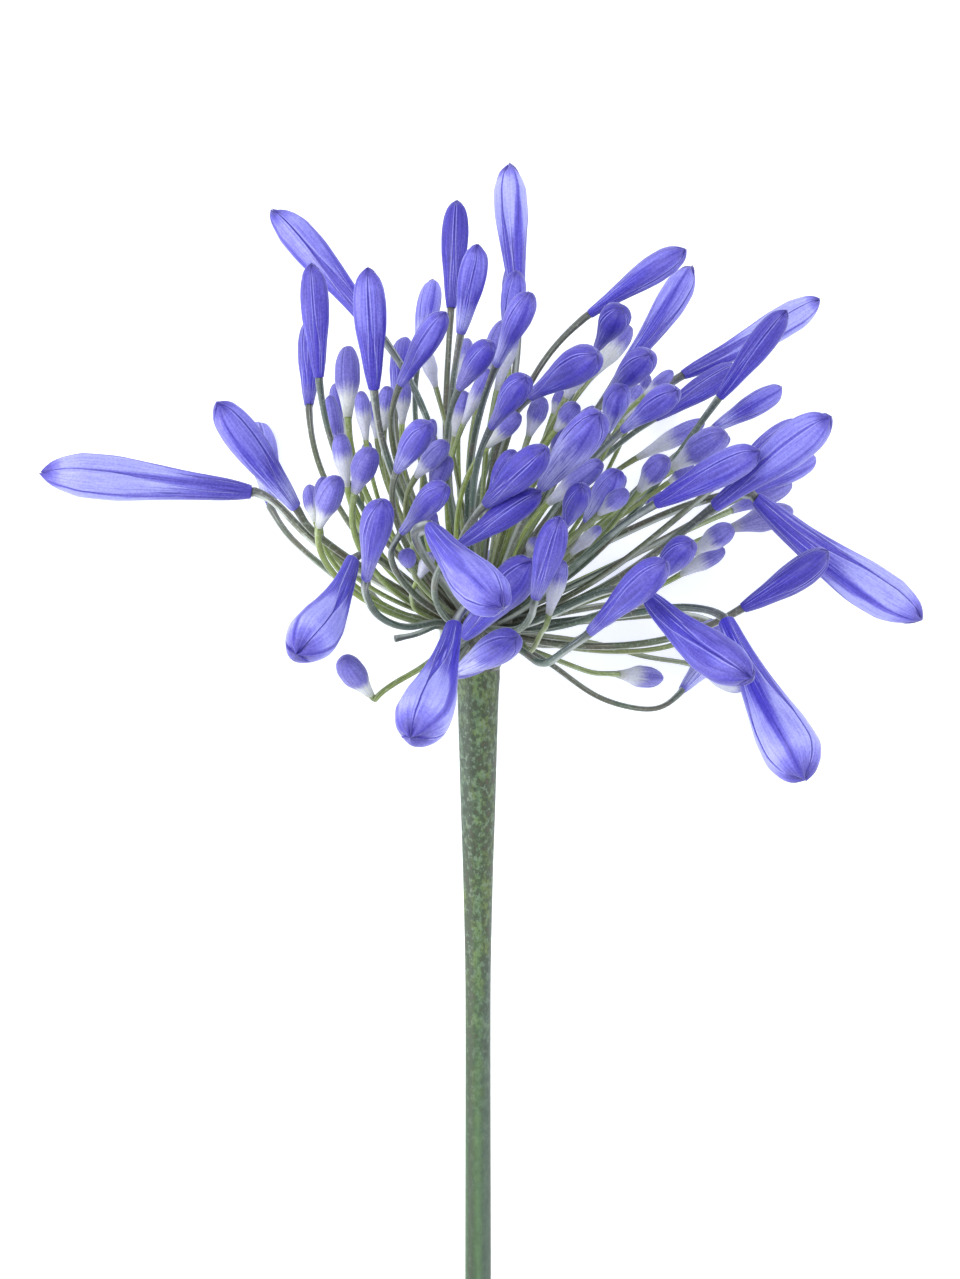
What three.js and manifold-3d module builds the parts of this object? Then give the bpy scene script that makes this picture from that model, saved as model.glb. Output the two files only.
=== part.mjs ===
// A cut agapanthus head in bud, lying on a flat surface: one leafless scape, and closed
// buds on thin stalks that spring from its swollen tip. Millimetres, +Z up. The scape runs
// towards -Y, and its cut end and the lowest buds touch the surface at z = 0.
import * as THREE from 'three';
import { mergeVertices } from 'three/addons/utils/BufferGeometryUtils.js';
import Module from 'manifold-3d';

// The head is laid out as it looks from straight above, by an eye EYE_DISTANCE over its
// centre. One unit across that picture is UNIT mm at the height of the centre.
const UNIT = 0.2;
const EYE_DISTANCE = 800;
const CENTRE_ACROSS = 478;
const CENTRE_DOWN = 628;
const HEAD_CENTRE = new THREE.Vector3(-0.64, 100.1, 60);

// Along the scape's axis from the head's centre: distance and radius, each further than
// the last.
const SCAPE_LENGTH = 300;
const SCAPE_END_RADIUS = 3;
const SCAPE_SIDES = 12;
const SCAPE_OUTLINE = [
  [9, 4.3], [14, 3.9], [24, 3.6], [36, 3.3], [54, 2.85], [76, 2.6], [150, 2.7],
  [SCAPE_LENGTH, SCAPE_END_RADIUS],
];

// The swollen tip of the scape that every stalk grows from, along the same axis.
const CROWN_SIDES = 10;
const CROWN_OUTLINE = [[-8, 3.8], [-3, 8.3], [4, 8.1], [8.7, 4.3]];

// Stalks: where they start from the centre, their radius for a narrow and a wide bud, and
// how a plain one bends, as shares of its length and of the bud's own direction.
const STALK_SIDES = 4;
const STALK_STEPS = 4;
const BENT_STEPS = 9;
const STALK_ROOT = 5.5;
const THIN_STALK = 0.45;
const THICK_STALK = 0.8;
const STALK_SWELL = 1.25;
const NECK = 3;
const START_LEAN = 0.5;
const START_PULL = 0.38;
const END_PULL = 0.32;

// How the roots spread over the crown: the spacing they reach for on a ball of radius 1,
// from each other and from the scape, and the share of the lack made up in a round.
const SPREAD_ROUNDS = 40;
const ROOT_SPACING = 0.25;
const NEIGHBOUR_PUSH = 0.25;
const SCAPE_SPACING = 0.75;
const SCAPE_PUSH = 0.5;

// Buds: radius along the length, as [share of the length, share of half the width]. Those
// of LOOSE_WIDTH and over are pieces of their own, and the rest grow on with their stalks.
const RIPE = [[0, 0.3], [0.12, 0.48], [0.4, 0.72], [0.64, 0.97], [0.8, 0.98], [0.93, 0.66], [1, 0.14]];
const HALF = [[0, 0.34], [0.14, 0.53], [0.54, 0.96], [0.76, 0.98], [0.92, 0.68], [1, 0.14]];
const YOUNG = [[0, 0.34], [0.25, 0.6], [0.54, 1], [0.84, 0.84], [1, 0.18]];
const PEAR = [[0, 0.32], [0.17, 0.45], [0.36, 0.67], [0.64, 0.99], [0.9, 0.76], [1, 0.16]];
const LATE = [[0, 0.3], [0.16, 0.4], [0.36, 0.56], [0.6, 0.84], [0.8, 1], [0.93, 0.76], [1, 0.16]];
const NARROW_BUD = 14;
const WIDE_BUD = 40;
const LOOSE_WIDTH = 26.5;
const LOOSE_SIDES = 9;
const GROWN_SIDES = 5;
const PETALS = 3;
const PETAL_BULGE = 0.05;
const ROLL_STEP = 2.4;
const SEAT_GAP = 0.3;

// How far a bud's middle bows to the left of its way from foot to tip, as a share of its
// length.
const BOWS = {
  '04': -0.012, '28': -0.02, '53': 0.03, '55': 0.02, '64': 0.012, '65': -0.02, '71': -0.018, '91': -0.034,
  '97': -0.03, '98': -0.02, '99': -0.012,
};

const SURFACE_DEPTH = 20;
const SURFACE_WIDTH = 800;

const PETAL_BLUE = 0x6a5fd0;
const STALK_OLIVE = 0x6e7850;
const SCAPE_GREEN = 0x4b6949;
const PETAL_ROUGHNESS = 0.45;
const STEM_ROUGHNESS = 0.55;

// Points closer than this are one, in mm.
const SAME_POINT = 1e-5;

// Every bud: name, outline, foot and tip as [across, down], width, heights of foot and tip
// over the head's centre, and the points [across, down, height] that a bent stalk passes.
// Places and widths are in picture units, heights in mm.
const BUDS = [
  ['01', RIPE, [251, 492], [41, 472], 46, -10, -4, [[370, 577, -3], [318, 545, -5], [283, 510, -8]]],
  ['02', HALF, [295, 507], [216, 403], 37, 24, 38, [[400, 590, 9], [345, 556, 16], [305, 525, 21]]],
  ['03', HALF, [271, 503], [257, 423], 31, -38, -60.5, [[383, 608, -12], [300, 547, -26]]],
  ['04', RIPE, [381, 336], [273, 209], 35, -14, -22], ['05', HALF, [319, 377], [313, 263], 28.5, 14, 20],
  ['06', HALF, [309, 405], [312, 317], 26, -26, -36], ['07', HALF, [374, 389], [368, 268], 33, 34, 44],
  ['08', YOUNG, [348, 418], [348, 346], 25.5, -4, -10],
  ['09', HALF, [396, 402], [405, 337], 23, -12, -24], ['10', HALF, [401, 384], [445, 312], 27, 26, 40],
  ['11', YOUNG, [384, 430], [388, 386], 18, 6, 9], ['12', HALF, [419, 355], [434, 279], 24, -26, -36],
  ['12b', YOUNG, [436, 388], [425, 350], 15, 5, 7], ['13', HALF, [451, 308], [457, 200], 27, -6, -10],
  ['14', HALF, [461, 333], [479, 244], 28, 16, 24], ['15', RIPE, [518, 310], [509, 163], 34, -12, -16],
  ['16', HALF, [508, 345], [517, 271], 25, 10, 20], ['16b', YOUNG, [510, 335], [511, 263], 18, -34, -40],
  ['17', PEAR, [497, 365], [530, 294], 28, 36, 52], ['18', YOUNG, [497, 391], [516, 320], 18, 21, 23],
  ['19', YOUNG, [483, 385], [505, 320], 22, 2, 0], ['20', HALF, [460, 388], [490, 343], 26.5, 38, 52],
  ['21', YOUNG, [463, 425], [489, 369], 16, 20, 24], ['22', YOUNG, [461, 390], [467, 338], 19, -12, -18],
  ['23', YOUNG, [455, 437], [466, 391], 20, 14, 15], ['24', YOUNG, [417, 476], [446, 443], 22, 31, 40],
  ['25', YOUNG, [431, 492], [448, 457], 22, 27, 33],
  ['26', PEAR, [403, 532], [444, 486], 28, 44, 62,
    [[420, 600, 20], [398, 575, 34], [391, 560, 40], [392, 548, 46]]],
  ['27', YOUNG, [418, 535], [433, 513], 20, 34, 40],
  ['28', RIPE, [431, 529], [502, 608], 50, 62, 90, [[425, 558, 40], [418, 545, 48], [413, 530, 58]]],
  ['29', RIPE, [465, 636], [535, 561], 42, 30, 46], ['30', HALF, [460, 671], [517, 638], 34, 34, 55],
  ['31', HALF, [487, 504], [546, 450], 34, 52, 71], ['32', HALF, [461, 545], [541, 492], 28.5, 46, 58],
  ['33', HALF, [543, 487], [602, 415], 39, 44, 68], ['33b', YOUNG, [560, 450], [597, 407], 20, -4, -2],
  ['34', YOUNG, [529, 560], [537, 538], 16, 12, 14],
  ['35', HALF, [536, 598], [559, 519], 31, 50, 64, [[519, 630, 30], [532, 615, 38]]],
  ['36', YOUNG, [549, 615], [562, 560], 20, 32, 36, [[520, 640, 12], [530, 653, 17], [542, 632, 26]]],
  ['37', HALF, [566, 525], [583, 488], 26, 42, 58], ['38', YOUNG, [549, 503], [602, 462], 24, 26, 34],
  ['39', YOUNG, [410, 566], [406, 554], 18, 42, 50],
  ['40', YOUNG, [418, 580], [432, 553], 14, 24, 27, [[418, 612, 12], [412, 600, 17]]],
  ['41', YOUNG, [402, 425], [404, 378], 16, 12, 13], ['42', YOUNG, [377, 440], [374, 398], 14, -6, -8],
  ['43', YOUNG, [366, 441], [361, 391], 16, 14, 16], ['44', YOUNG, [345, 440], [335, 383], 18, -14, -20],
  ['45', YOUNG, [341, 462], [329, 395], 18, 4, 4], ['46', YOUNG, [347, 487], [340, 433], 20, 12, 14],
  ['47', YOUNG, [355.5, 492], [371, 450], 26.5, 38, 46],
  ['48', YOUNG, [362, 490], [368, 441], 14, -4, -4],
  ['49', YOUNG, [319.5, 526], [337, 478], 26.5, 30, 40], ['50', YOUNG, [316, 523], [309, 485], 18, 0, -4],
  ['52', PEAR, [366.5, 579], [382, 501], 33, 44, 62,
    [[440, 622, 14], [405, 628, 24], [376, 615, 32], [365, 592, 38]]],
  ['53', LATE, [352, 562], [297, 655], 50, 34, 66],
  ['54', YOUNG, [370, 694], [342, 659], 26.5, 8, 18,
    [[455, 640, 2], [424, 666, 4], [395, 683, 6], [376, 697, 8]]],
  ['55', LATE, [454, 627], [414, 739], 56, 48, 80], ['56', HALF, [398, 470], [427, 424], 29, 40, 58],
  ['57', YOUNG, [424, 465], [433, 419], 14, 18, 20], ['58', PEAR, [492, 427], [526, 377], 28.5, 42, 58],
  ['59', YOUNG, [487, 447], [520, 414], 19, 28, 32], ['60', YOUNG, [529, 436], [543, 397], 20, 26, 28],
  ['61', PEAR, [532, 396], [598, 354], 37, 34, 54], ['62', PEAR, [598, 347], [622, 308], 31, 16, 26],
  ['63', YOUNG, [590, 378], [631, 326], 22, -2, -6], ['64', PEAR, [590, 314], [686, 249], 29, 12, 18],
  ['65', RIPE, [621, 372], [692, 265], 31, -16, -26], ['66', PEAR, [607, 398], [651, 353], 31, 20, 38],
  ['67', HALF, [608, 430], [621, 387], 26.5, 26, 38], ['68', YOUNG, [622, 420], [640, 385], 18, 0, -2],
  ['68b', YOUNG, [635, 410], [649, 375], 12, -16, -20], ['69', YOUNG, [644, 396], [673, 371], 14, 10, 10],
  ['70', PEAR, [624, 430], [677, 390], 28.5, 35, 52], ['71', RIPE, [683, 375], [821, 299], 32, -14, -20],
  ['72', HALF, [655, 418], [740, 365], 26, -8, -10], ['73a', YOUNG, [553, 415], [563, 390], 14, 6, 6],
  ['73b', YOUNG, [556, 430], [577, 404], 20, 28, 32], ['73c', YOUNG, [550, 455], [568, 425], 16, 14, 16],
  ['74', YOUNG, [566, 398], [585, 362], 20, 12, 14], ['75', HALF, [720, 397], [787, 310], 27.5, 20, 30],
  ['76', YOUNG, [640, 490], [666, 458], 25, 32, 40], ['78', HALF, [587, 521], [619, 472], 27.5, 28, 40],
  ['78b', YOUNG, [605, 505], [625, 475], 14, 6, 5], ['79', YOUNG, [600, 514], [626, 492], 19, 37, 46],
  ['80', YOUNG, [634, 502], [662, 493], 16, -2, -2], ['81', HALF, [657, 504], [760, 451], 35, 38, 50],
  ['82', YOUNG, [668, 483], [694, 465], 14, 11, 11], ['83', YOUNG, [674, 467], [725, 433], 30, 20, 30],
  ['83b', YOUNG, [690, 460], [730, 437], 16, 0, -1], ['84', YOUNG, [637, 458], [705, 421], 19, 6, 8],
  ['86', HALF, [714, 428], [783, 388], 24, -10, -16], ['87', HALF, [731, 474], [802, 422], 27, 2, -6],
  ['88', PEAR, [716, 506], [831, 417], 42, 34, 54], ['89', HALF, [750, 491], [815, 456], 27, -20, -30],
  ['90', YOUNG, [731, 510], [791, 483], 22, -40, -50],
  ['91', RIPE, [756, 499], [922, 619], 48, -2, 0, [[562, 565, -4], [670, 512, -7], [720, 496, -5]]],
  ['92', YOUNG, [731, 528], [792, 510], 26, -20, -30],
  ['93', YOUNG, [695, 552], [733, 527], 23.5, 12, 16], ['94', YOUNG, [680, 575], [725, 549], 18, 6, 6],
  ['95', HALF, [656, 578], [690, 542], 30, 28, 40],
  ['96', PEAR, [591, 632], [666, 562], 35, 44, 62, [[521, 650, 20], [543, 665, 30], [565, 651, 38]]],
  ['97', RIPE, [648, 597], [751, 680], 46, 38, 64], ['98', HALF, [743, 608], [829, 552], 32, 11, 15],
  ['99', LATE, [726, 622], [808, 779], 58, 22, 42, [[622, 615, 12], [681, 607, 18], [711, 611, 21]]],
  ['100', YOUNG, [618, 674], [661, 678], 22, -20, -30, [[545, 655, -8], [590, 672, -15]]],
  ['101', HALF, [682, 690], [720, 646], 22, -18, -32, [[545, 660, -5], [600, 698, -12], [655, 710, -16]]],
  ['101b', YOUNG, [700, 668], [742, 689], 18, -38, -44, [[590, 642, -14], [644, 656, -26]]],
  ['102', YOUNG, [570, 555], [601, 527], 14, 14, 15],
  ['103', YOUNG, [690, 639], [723, 624], 20, -10, -14],
  ['105', HALF, [462, 590], [492, 556], 30, -38, -60.5],
  ['106', HALF, [498, 600], [522, 578], 30, -38, -60.5],
  ['107', HALF, [478, 537], [528, 504], 26, -34, -46],
  ['108', HALF, [340, 585], [305, 640], 30, -34, -60.5],
  ['109', HALF, [440, 660], [420, 725], 32, -26, -50],
  ['110', HALF, [665, 615], [725, 662], 30, -37, -60.6],
  ['111', HALF, [550, 480], [592, 430], 30, -34, -50],
  ['112', HALF, [665, 498], [745, 458], 26, -42, -60.5],
  ['113', RIPE, [735, 640], [800, 755], 38, -32, -60.3, [[622, 617, -8], [690, 615, -20]]],
  ['114', HALF, [374, 385], [369, 280], 26, -36, -46],
  ['115', HALF, [540, 390], [590, 357], 26, -40, -50],
  ['116', HALF, [402, 465], [428, 427], 26, -44, -60.5],
  ['117', HALF, [368, 570], [382, 510], 26, -36, -52],
  ['118', HALF, [630, 425], [672, 392], 26, -44, -60.5],
  ['119', HALF, [598, 625], [655, 570], 32, -40, -60.5],
  ['125', YOUNG, [436, 680], [489, 664], 15, 14, 20], ['126', HALF, [491, 501], [514, 452], 24, 38, 48],
  ['127', YOUNG, [320, 520], [325, 477], 19, 14, 18],
].map(([name, outline, foot, tip, width, footHeight, tipHeight, bends]) => (
  { name, outline, foot, tip, width, footHeight, tipHeight, bends }));

// A stalk that has lost its bud, as points [across, down, height].
const STUB = [[441, 625, 9], [418, 634, 13], [395, 639, 15]];
const STUB_WIDTH = 24;

const wasm = await Module();
wasm.setup();

// The point seen at a place across and down, at a height over the head's centre.
function seen(across, down, height) {
  const unit = UNIT * (1 - height / EYE_DISTANCE);
  return new THREE.Vector3((across - CENTRE_ACROSS) * unit, (CENTRE_DOWN - down) * unit, height);
}

function solidOf(geometry) {
  const bare = geometry.clone();
  bare.deleteAttribute('normal');
  const merged = mergeVertices(bare, SAME_POINT);
  return new wasm.Manifold(new wasm.Mesh({
    numProp: 3,
    vertProperties: Float32Array.from(merged.attributes.position.array),
    triVerts: Uint32Array.from(merged.index.array),
  }));
}

function geometryOf(solid) {
  const mesh = solid.getMesh();
  const geometry = new THREE.BufferGeometry();
  geometry.setAttribute('position', new THREE.BufferAttribute(mesh.vertProperties, 3));
  geometry.setIndex(new THREE.BufferAttribute(mesh.triVerts, 1));
  return geometry;
}

// A closed solid through rings of points, each ring turning right-handed about the way
// the rings run, with a flat face on the first and the last.
function ringSolid(rings) {
  const sides = rings[0].length;
  const index = [];
  for (let ring = 0; ring + 1 < rings.length; ring += 1) {
    for (let side = 0; side < sides; side += 1) {
      const a = ring * sides + side;
      const b = ring * sides + (side + 1) % sides;
      index.push(a, b, b + sides, a, b + sides, a + sides);
    }
  }
  const last = (rings.length - 1) * sides;
  for (let side = 1; side + 1 < sides; side += 1) {
    index.push(0, side + 1, side, last, last + side, last + side + 1);
  }
  const geometry = new THREE.BufferGeometry();
  geometry.setAttribute('position', new THREE.Float32BufferAttribute(
    rings.flat().flatMap((point) => point.toArray()), 3));
  geometry.setIndex(index);
  geometry.computeVertexNormals();
  return geometry;
}

// One ring round a centre, in the plane of two unit vectors. reach gives its radius at
// each angle.
function ring(centre, right, up, sides, reach) {
  return Array.from({ length: sides }, (_, side) => {
    const angle = (side / sides) * Math.PI * 2;
    return centre.clone()
      .addScaledVector(right, Math.cos(angle) * reach(angle))
      .addScaledVector(up, Math.sin(angle) * reach(angle));
  });
}

// Two unit vectors square to an axis, the first one level.
function acrossAxis(axis) {
  const right = new THREE.Vector3(0, 0, 1).cross(axis).normalize();
  return [right, axis.clone().cross(right)];
}

function budEnds({ foot, tip, footHeight, tipHeight }) {
  const start = seen(...foot, footHeight);
  const end = seen(...tip, tipHeight);
  return { start, end, axis: end.clone().sub(start).normalize() };
}

// The middle of a bud at a share of its length.
function budCentre(bud, along) {
  const { start, end, axis } = budEnds(bud);
  const bow = (BOWS[bud.name] ?? 0) * start.distanceTo(end) * 4 * along * (1 - along);
  return start.lerp(end, along).addScaledVector(acrossAxis(axis)[0], bow);
}

// The rings of a bud: three outer petals wrapped shut, so its section bulges three times.
function budRings(bud, right, up, sides, roll) {
  const height = (bud.footHeight + bud.tipHeight) / 2;
  const halfWidth = (bud.width / 2) * UNIT * (1 - height / EYE_DISTANCE);
  return bud.outline.map(([along, share]) => ring(
    budCentre(bud, along), right, up, sides,
    (angle) => halfWidth * share * (1 + PETAL_BULGE * Math.cos(PETALS * (angle - roll))),
  ));
}

// Which way each stalk leaves the crown. A plain one starts lower than its bud lies, and a
// bent one heads for its first point. Then neighbours push each other apart, so that the
// roots sit side by side, and all keep clear of the scape.
function stalkAims() {
  let aims = BUDS.map((bud) => {
    const { start: foot, axis } = budEnds(bud);
    return bud.bends ? seen(...bud.bends[0]).normalize()
      : foot.normalize().multiplyScalar(1 + START_LEAN).addScaledVector(axis, -START_LEAN).normalize();
  });
  for (let round = 0; round < SPREAD_ROUNDS; round += 1) {
    aims = aims.map((aim) => {
      const moved = aim.clone();
      const shove = (other, reach, strength) => {
        const apart = aim.clone().sub(other);
        const lack = Math.max(0, reach - apart.length());
        moved.addScaledVector(apart.normalize(), lack * strength);
      };
      aims.forEach((other) => other !== aim && shove(other, ROOT_SPACING, NEIGHBOUR_PUSH));
      shove(scapeAxis, SCAPE_SPACING, SCAPE_PUSH);
      return moved.normalize();
    });
  }
  return aims;
}

// The line of a stalk, from inside the crown to the foot of its bud. A bent one passes
// its own points, and a plain one swings round to arrive in line with its bud.
function stalkCurve(bud, aim) {
  const { start: foot, axis } = budEnds(bud);
  const end = foot.clone().addScaledVector(axis, -SEAT_GAP);
  const root = aim.clone().multiplyScalar(STALK_ROOT);
  if (bud.bends) {
    const points = bud.bends.map((point) => seen(...point));
    const neck = end.clone().addScaledVector(axis, -NECK);
    return new THREE.CatmullRomCurve3([root, ...points, neck, end], false, 'catmullrom');
  }
  const length = root.distanceTo(end);
  return new THREE.CubicBezierCurve3(
    root,
    root.clone().addScaledVector(aim, length * START_PULL),
    end.clone().addScaledVector(axis, -length * END_PULL),
    end,
  );
}

function stalkRadius(width) {
  const share = THREE.MathUtils.clamp((width - NARROW_BUD) / (WIDE_BUD - NARROW_BUD), 0, 1);
  return THREE.MathUtils.lerp(THIN_STALK, THICK_STALK, share);
}

// A stalk, which ends square under a loose bud and runs on into the skin of any other.
function stalkGeometry(curve, steps, radius, bud) {
  const { normals, binormals } = curve.computeFrenetFrames(steps, false);
  const grown = bud && bud.width < LOOSE_WIDTH;
  const rings = normals.map((normal, step) => ring(
    curve.getPointAt(step / steps), normal, binormals[step], grown ? GROWN_SIDES : STALK_SIDES,
    () => radius * (step === steps ? STALK_SWELL : 1),
  ));
  return ringSolid(grown
    ? [...rings.slice(0, -1), ...budRings(bud, normals[steps], binormals[steps], GROWN_SIDES, 0)]
    : rings);
}

// Rings along the scape's axis, at each distance and radius of an outline.
function scapeSolid(outline, axis, sides) {
  const [right, up] = acrossAxis(axis);
  return ringSolid(outline.map(([distance, radius]) => ring(
    axis.clone().multiplyScalar(distance), right, up, sides, () => radius)));
}

// What lies above the surface that the flower rests on.
function restOnSurface(solid) {
  const surface = new THREE.BoxGeometry(SURFACE_WIDTH, SURFACE_WIDTH, SURFACE_DEPTH);
  surface.deleteAttribute('uv');
  surface.translate(0, 0, -HEAD_CENTRE.z - SURFACE_DEPTH / 2);
  return solid.subtract(solidOf(surface));
}

function named(name, geometry, color, roughness) {
  const mesh = new THREE.Mesh(geometry, new THREE.MeshStandardMaterial({ color, roughness, metalness: 0 }));
  mesh.name = name;
  return mesh;
}

// The scape dips just enough for the lowest point of its cut end to touch the surface.
const dip = Math.asin((HEAD_CENTRE.z - SCAPE_END_RADIUS) / SCAPE_LENGTH);
const scapeAxis = new THREE.Vector3(0, -Math.cos(dip), -Math.sin(dip));

const aims = stalkAims();
const stalks = BUDS.map((bud, order) => stalkGeometry(
  stalkCurve(bud, aims[order]), bud.bends ? BENT_STEPS : STALK_STEPS, stalkRadius(bud.width), bud));
const stubCurve = new THREE.CatmullRomCurve3(
  [new THREE.Vector3(), ...STUB.map((point) => seen(...point))]);

const umbel = [
  scapeSolid(CROWN_OUTLINE, scapeAxis, CROWN_SIDES),
  stalkGeometry(stubCurve, STALK_STEPS, stalkRadius(STUB_WIDTH)),
  ...stalks,
].map(solidOf).reduce((whole, piece) => whole.add(piece));

const flower = new THREE.Group();
flower.position.copy(HEAD_CENTRE);
flower.add(named('scape', scapeSolid(SCAPE_OUTLINE, scapeAxis, SCAPE_SIDES), SCAPE_GREEN, STEM_ROUGHNESS));
flower.add(named('umbel', geometryOf(restOnSurface(umbel)), STALK_OLIVE, STEM_ROUGHNESS));
BUDS.forEach((bud, order) => {
  if (bud.width >= LOOSE_WIDTH) {
    const [right, up] = acrossAxis(budEnds(bud).axis);
    const solid = solidOf(ringSolid(budRings(bud, right, up, LOOSE_SIDES, order * ROLL_STEP)));
    flower.add(named(`bud_${bud.name}`, geometryOf(restOnSurface(solid)), PETAL_BLUE, PETAL_ROUGHNESS));
  }
});

export default flower;
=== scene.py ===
"""Dresses a cut agapanthus head in bud, which lies on a pale surface.

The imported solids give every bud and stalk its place. Here each bud becomes a fine skin of
three outer petals wrapped over three inner ones, each stalk a smooth bend, and the stem a
mottled round. Sizes are in mm until a mesh is made. A bud is placed as it looks from
straight above: across and down in picture units, which are 0.2 mm at the height of the
head's centre, and by the heights of its ends over that centre.
"""

import logging
import math
from dataclasses import dataclass, field
from enum import Enum

import bpy
import numpy as np
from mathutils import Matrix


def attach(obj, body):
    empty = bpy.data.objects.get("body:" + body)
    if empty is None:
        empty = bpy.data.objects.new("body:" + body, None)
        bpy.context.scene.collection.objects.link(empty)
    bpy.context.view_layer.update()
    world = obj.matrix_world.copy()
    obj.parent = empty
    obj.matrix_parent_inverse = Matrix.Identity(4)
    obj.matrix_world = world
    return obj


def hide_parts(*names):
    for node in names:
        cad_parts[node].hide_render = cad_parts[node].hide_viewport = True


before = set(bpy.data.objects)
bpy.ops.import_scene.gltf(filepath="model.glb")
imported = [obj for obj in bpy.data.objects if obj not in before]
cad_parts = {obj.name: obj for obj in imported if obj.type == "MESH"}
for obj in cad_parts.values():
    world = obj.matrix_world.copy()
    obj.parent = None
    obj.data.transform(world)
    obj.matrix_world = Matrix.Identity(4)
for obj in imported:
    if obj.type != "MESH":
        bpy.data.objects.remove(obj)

log = logging.getLogger("agapanthus")

MM = 0.001
BODY = "root"

# The picture's sides and the head's centre in it, in picture units, then one unit at that
# centre's height, how far above it the eye is, and where it lies in the frame, all in mm.
PICTURE_ACROSS, PICTURE_DOWN = 960, 1279
CENTRE_ACROSS, CENTRE_DOWN = 478, 628
UNIT = 0.2
EYE_DISTANCE = 800.0
HEAD_CENTRE = np.array([-0.64, 100.1, 60.0])

# The scape from the head's centre to its cut end, in mm.
SCAPE_LENGTH = 300.0
SCAPE_END_RADIUS = 3.0

Point = tuple[float, float, float]
Place = tuple[float, float]
Outline = tuple[Place, ...]
Colour = tuple[float, float, float, float]


def srgb(code: str) -> Colour:
    """Turns a colour as a screen shows it into Blender's linear values.

    Args:
        code: Six hexadecimal digits, such as "6a5fd0".

    Returns:
        Red, green, blue and alpha, each 0 to 1.
    """
    shown = [int(code[start:start + 2], 16) / 255 for start in (0, 2, 4)]
    red, green, blue = (s / 12.92 if s <= 0.04045 else ((s + 0.055) / 1.055) ** 2.4 for s in shown)
    return (red, green, blue, 1.0)


def unit(vectors: np.ndarray) -> np.ndarray:
    """Scales vectors, along the last axis, to a length of 1."""
    return vectors / np.linalg.norm(vectors, axis=-1, keepdims=True)


def ease(values: np.ndarray, low: float, high: float) -> np.ndarray:
    """Rises smoothly from 0 at low to 1 at high.

    Args:
        values: Any array.
        low: Where the rise starts.
        high: Where it ends.

    Returns:
        3 t^2 - 2 t^3, where t is the clamped share of the way from low to high.
    """
    share = np.clip((values - low) / (high - low), 0, 1)
    return share * share * (3 - 2 * share)


def smooth_outline(outline: Outline, places: np.ndarray) -> np.ndarray:
    """Runs a smooth curve through an outline's points without overshoot.

    Each point's slope is the harmonic mean of the slopes on its two sides, or 0 at a peak,
    and cubic Hermite arcs join the points.

    Args:
        outline: Points (along, value), each further along than the last.
        places: Where along to read the curve.

    Returns:
        The curve's value at each place.
    """
    along, value = np.array(outline, float).T
    step = np.diff(along)
    slope = np.diff(value) / step
    before, after = slope[:-1], slope[1:]
    same_way = before * after > 0
    total = np.where(same_way, before + after, 1)
    inner = np.where(same_way, 2 * before * after / total, 0)
    bend = np.concatenate([slope[:1], inner, slope[-1:]])
    arc = np.clip(np.searchsorted(along, places, side="right") - 1, 0, len(step) - 1)
    share = np.clip((places - along[arc]) / step[arc], 0, 1)
    rest = 1 - share
    return (
        value[arc] * (1 + 2 * share) * rest**2
        + bend[arc] * step[arc] * share * rest**2
        + value[arc + 1] * share**2 * (3 - 2 * share)
        - bend[arc + 1] * step[arc] * share**2 * rest
    )


def catmull_rom(points: np.ndarray, steps: int = 60) -> np.ndarray:
    """Runs a uniform Catmull-Rom curve through points.

    Each arc is a cubic whose slope at a point is half the step between its neighbours. The
    ends use a point mirrored from their neighbour.

    Args:
        points: Shaped (count, 3).
        steps: Points on each arc.

    Returns:
        Many points along the curve.
    """
    first = 2 * points[0] - points[1]
    last = 2 * points[-1] - points[-2]
    held = np.vstack([first, points, last])
    share = np.linspace(0, 1, steps)[:, None]
    arcs = [
        0.5 * (2 * start + (end - before) * share
               + (2 * before - 5 * start + 4 * end - after) * share**2
               + (3 * start - 3 * end + after - before) * share**3)
        for before, start, end, after in zip(held, held[1:], held[2:], held[3:])
    ]
    return np.vstack(arcs)


def corners(sides: int) -> np.ndarray:
    """The angles of a round section's corners, in radians, as one row."""
    return (np.arange(sides) * 2 * math.pi / sides)[None, :]


def lay_rings(centre: np.ndarray, left: np.ndarray, up: np.ndarray, reach: np.ndarray,
              angle: np.ndarray) -> np.ndarray:
    """Lays rings of points: centre + reach (left cos angle + up sin angle).

    Args:
        centre: The middles, which fit the grid (rows, columns, 3).
        left: The direction of angle 0, square to the way the rings run.
        up: The direction a quarter turn on.
        reach: The radius at each point, shaped (rows, columns) or (rows, 1).
        angle: In radians, shaped (rows, columns) or (1, columns).

    Returns:
        The points, shaped (rows, columns, 3).
    """
    sideways = (reach * np.cos(angle))[..., None] * left
    return centre + sideways + (reach * np.sin(angle))[..., None] * up


def stack(*values: np.ndarray | float) -> np.ndarray:
    """Spreads some values over one grid, and stacks them along a last axis."""
    return np.stack(np.broadcast_arrays(*values), -1)


def seen(across: float, down: float, height: float) -> np.ndarray:
    """Finds the point that the picture shows at a place.

    Args:
        across: Picture units from the left edge.
        down: Picture units from the top edge.
        height: mm over the head's centre.

    Returns:
        The point in mm from the head's centre.
    """
    scale = UNIT * (1 - height / EYE_DISTANCE)
    return np.array([(across - CENTRE_ACROSS) * scale, (CENTRE_DOWN - down) * scale, height])


@dataclass(frozen=True)
class BudForm:
    """The shape that the buds of one stage share.

    Attributes:
        outline: Radius along the bud, as shares of its length and of half its width.
        cover: Half the breadth of an outer petal along the bud, as a share of 60 degrees.
        lip: How proud an outer petal's margin stands, as a share of the radius.
        crisp: How clearly its petals stand out from each other, 0 to 1.
        age: From 0, freshly formed, to 1, about to open.
        rows: Rings along the bud.
        white: How far up the bud its white foot reaches, as a share of its length.
    """

    outline: Outline
    cover: Outline
    lip: float
    crisp: float
    age: float
    rows: int
    white: float


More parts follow.
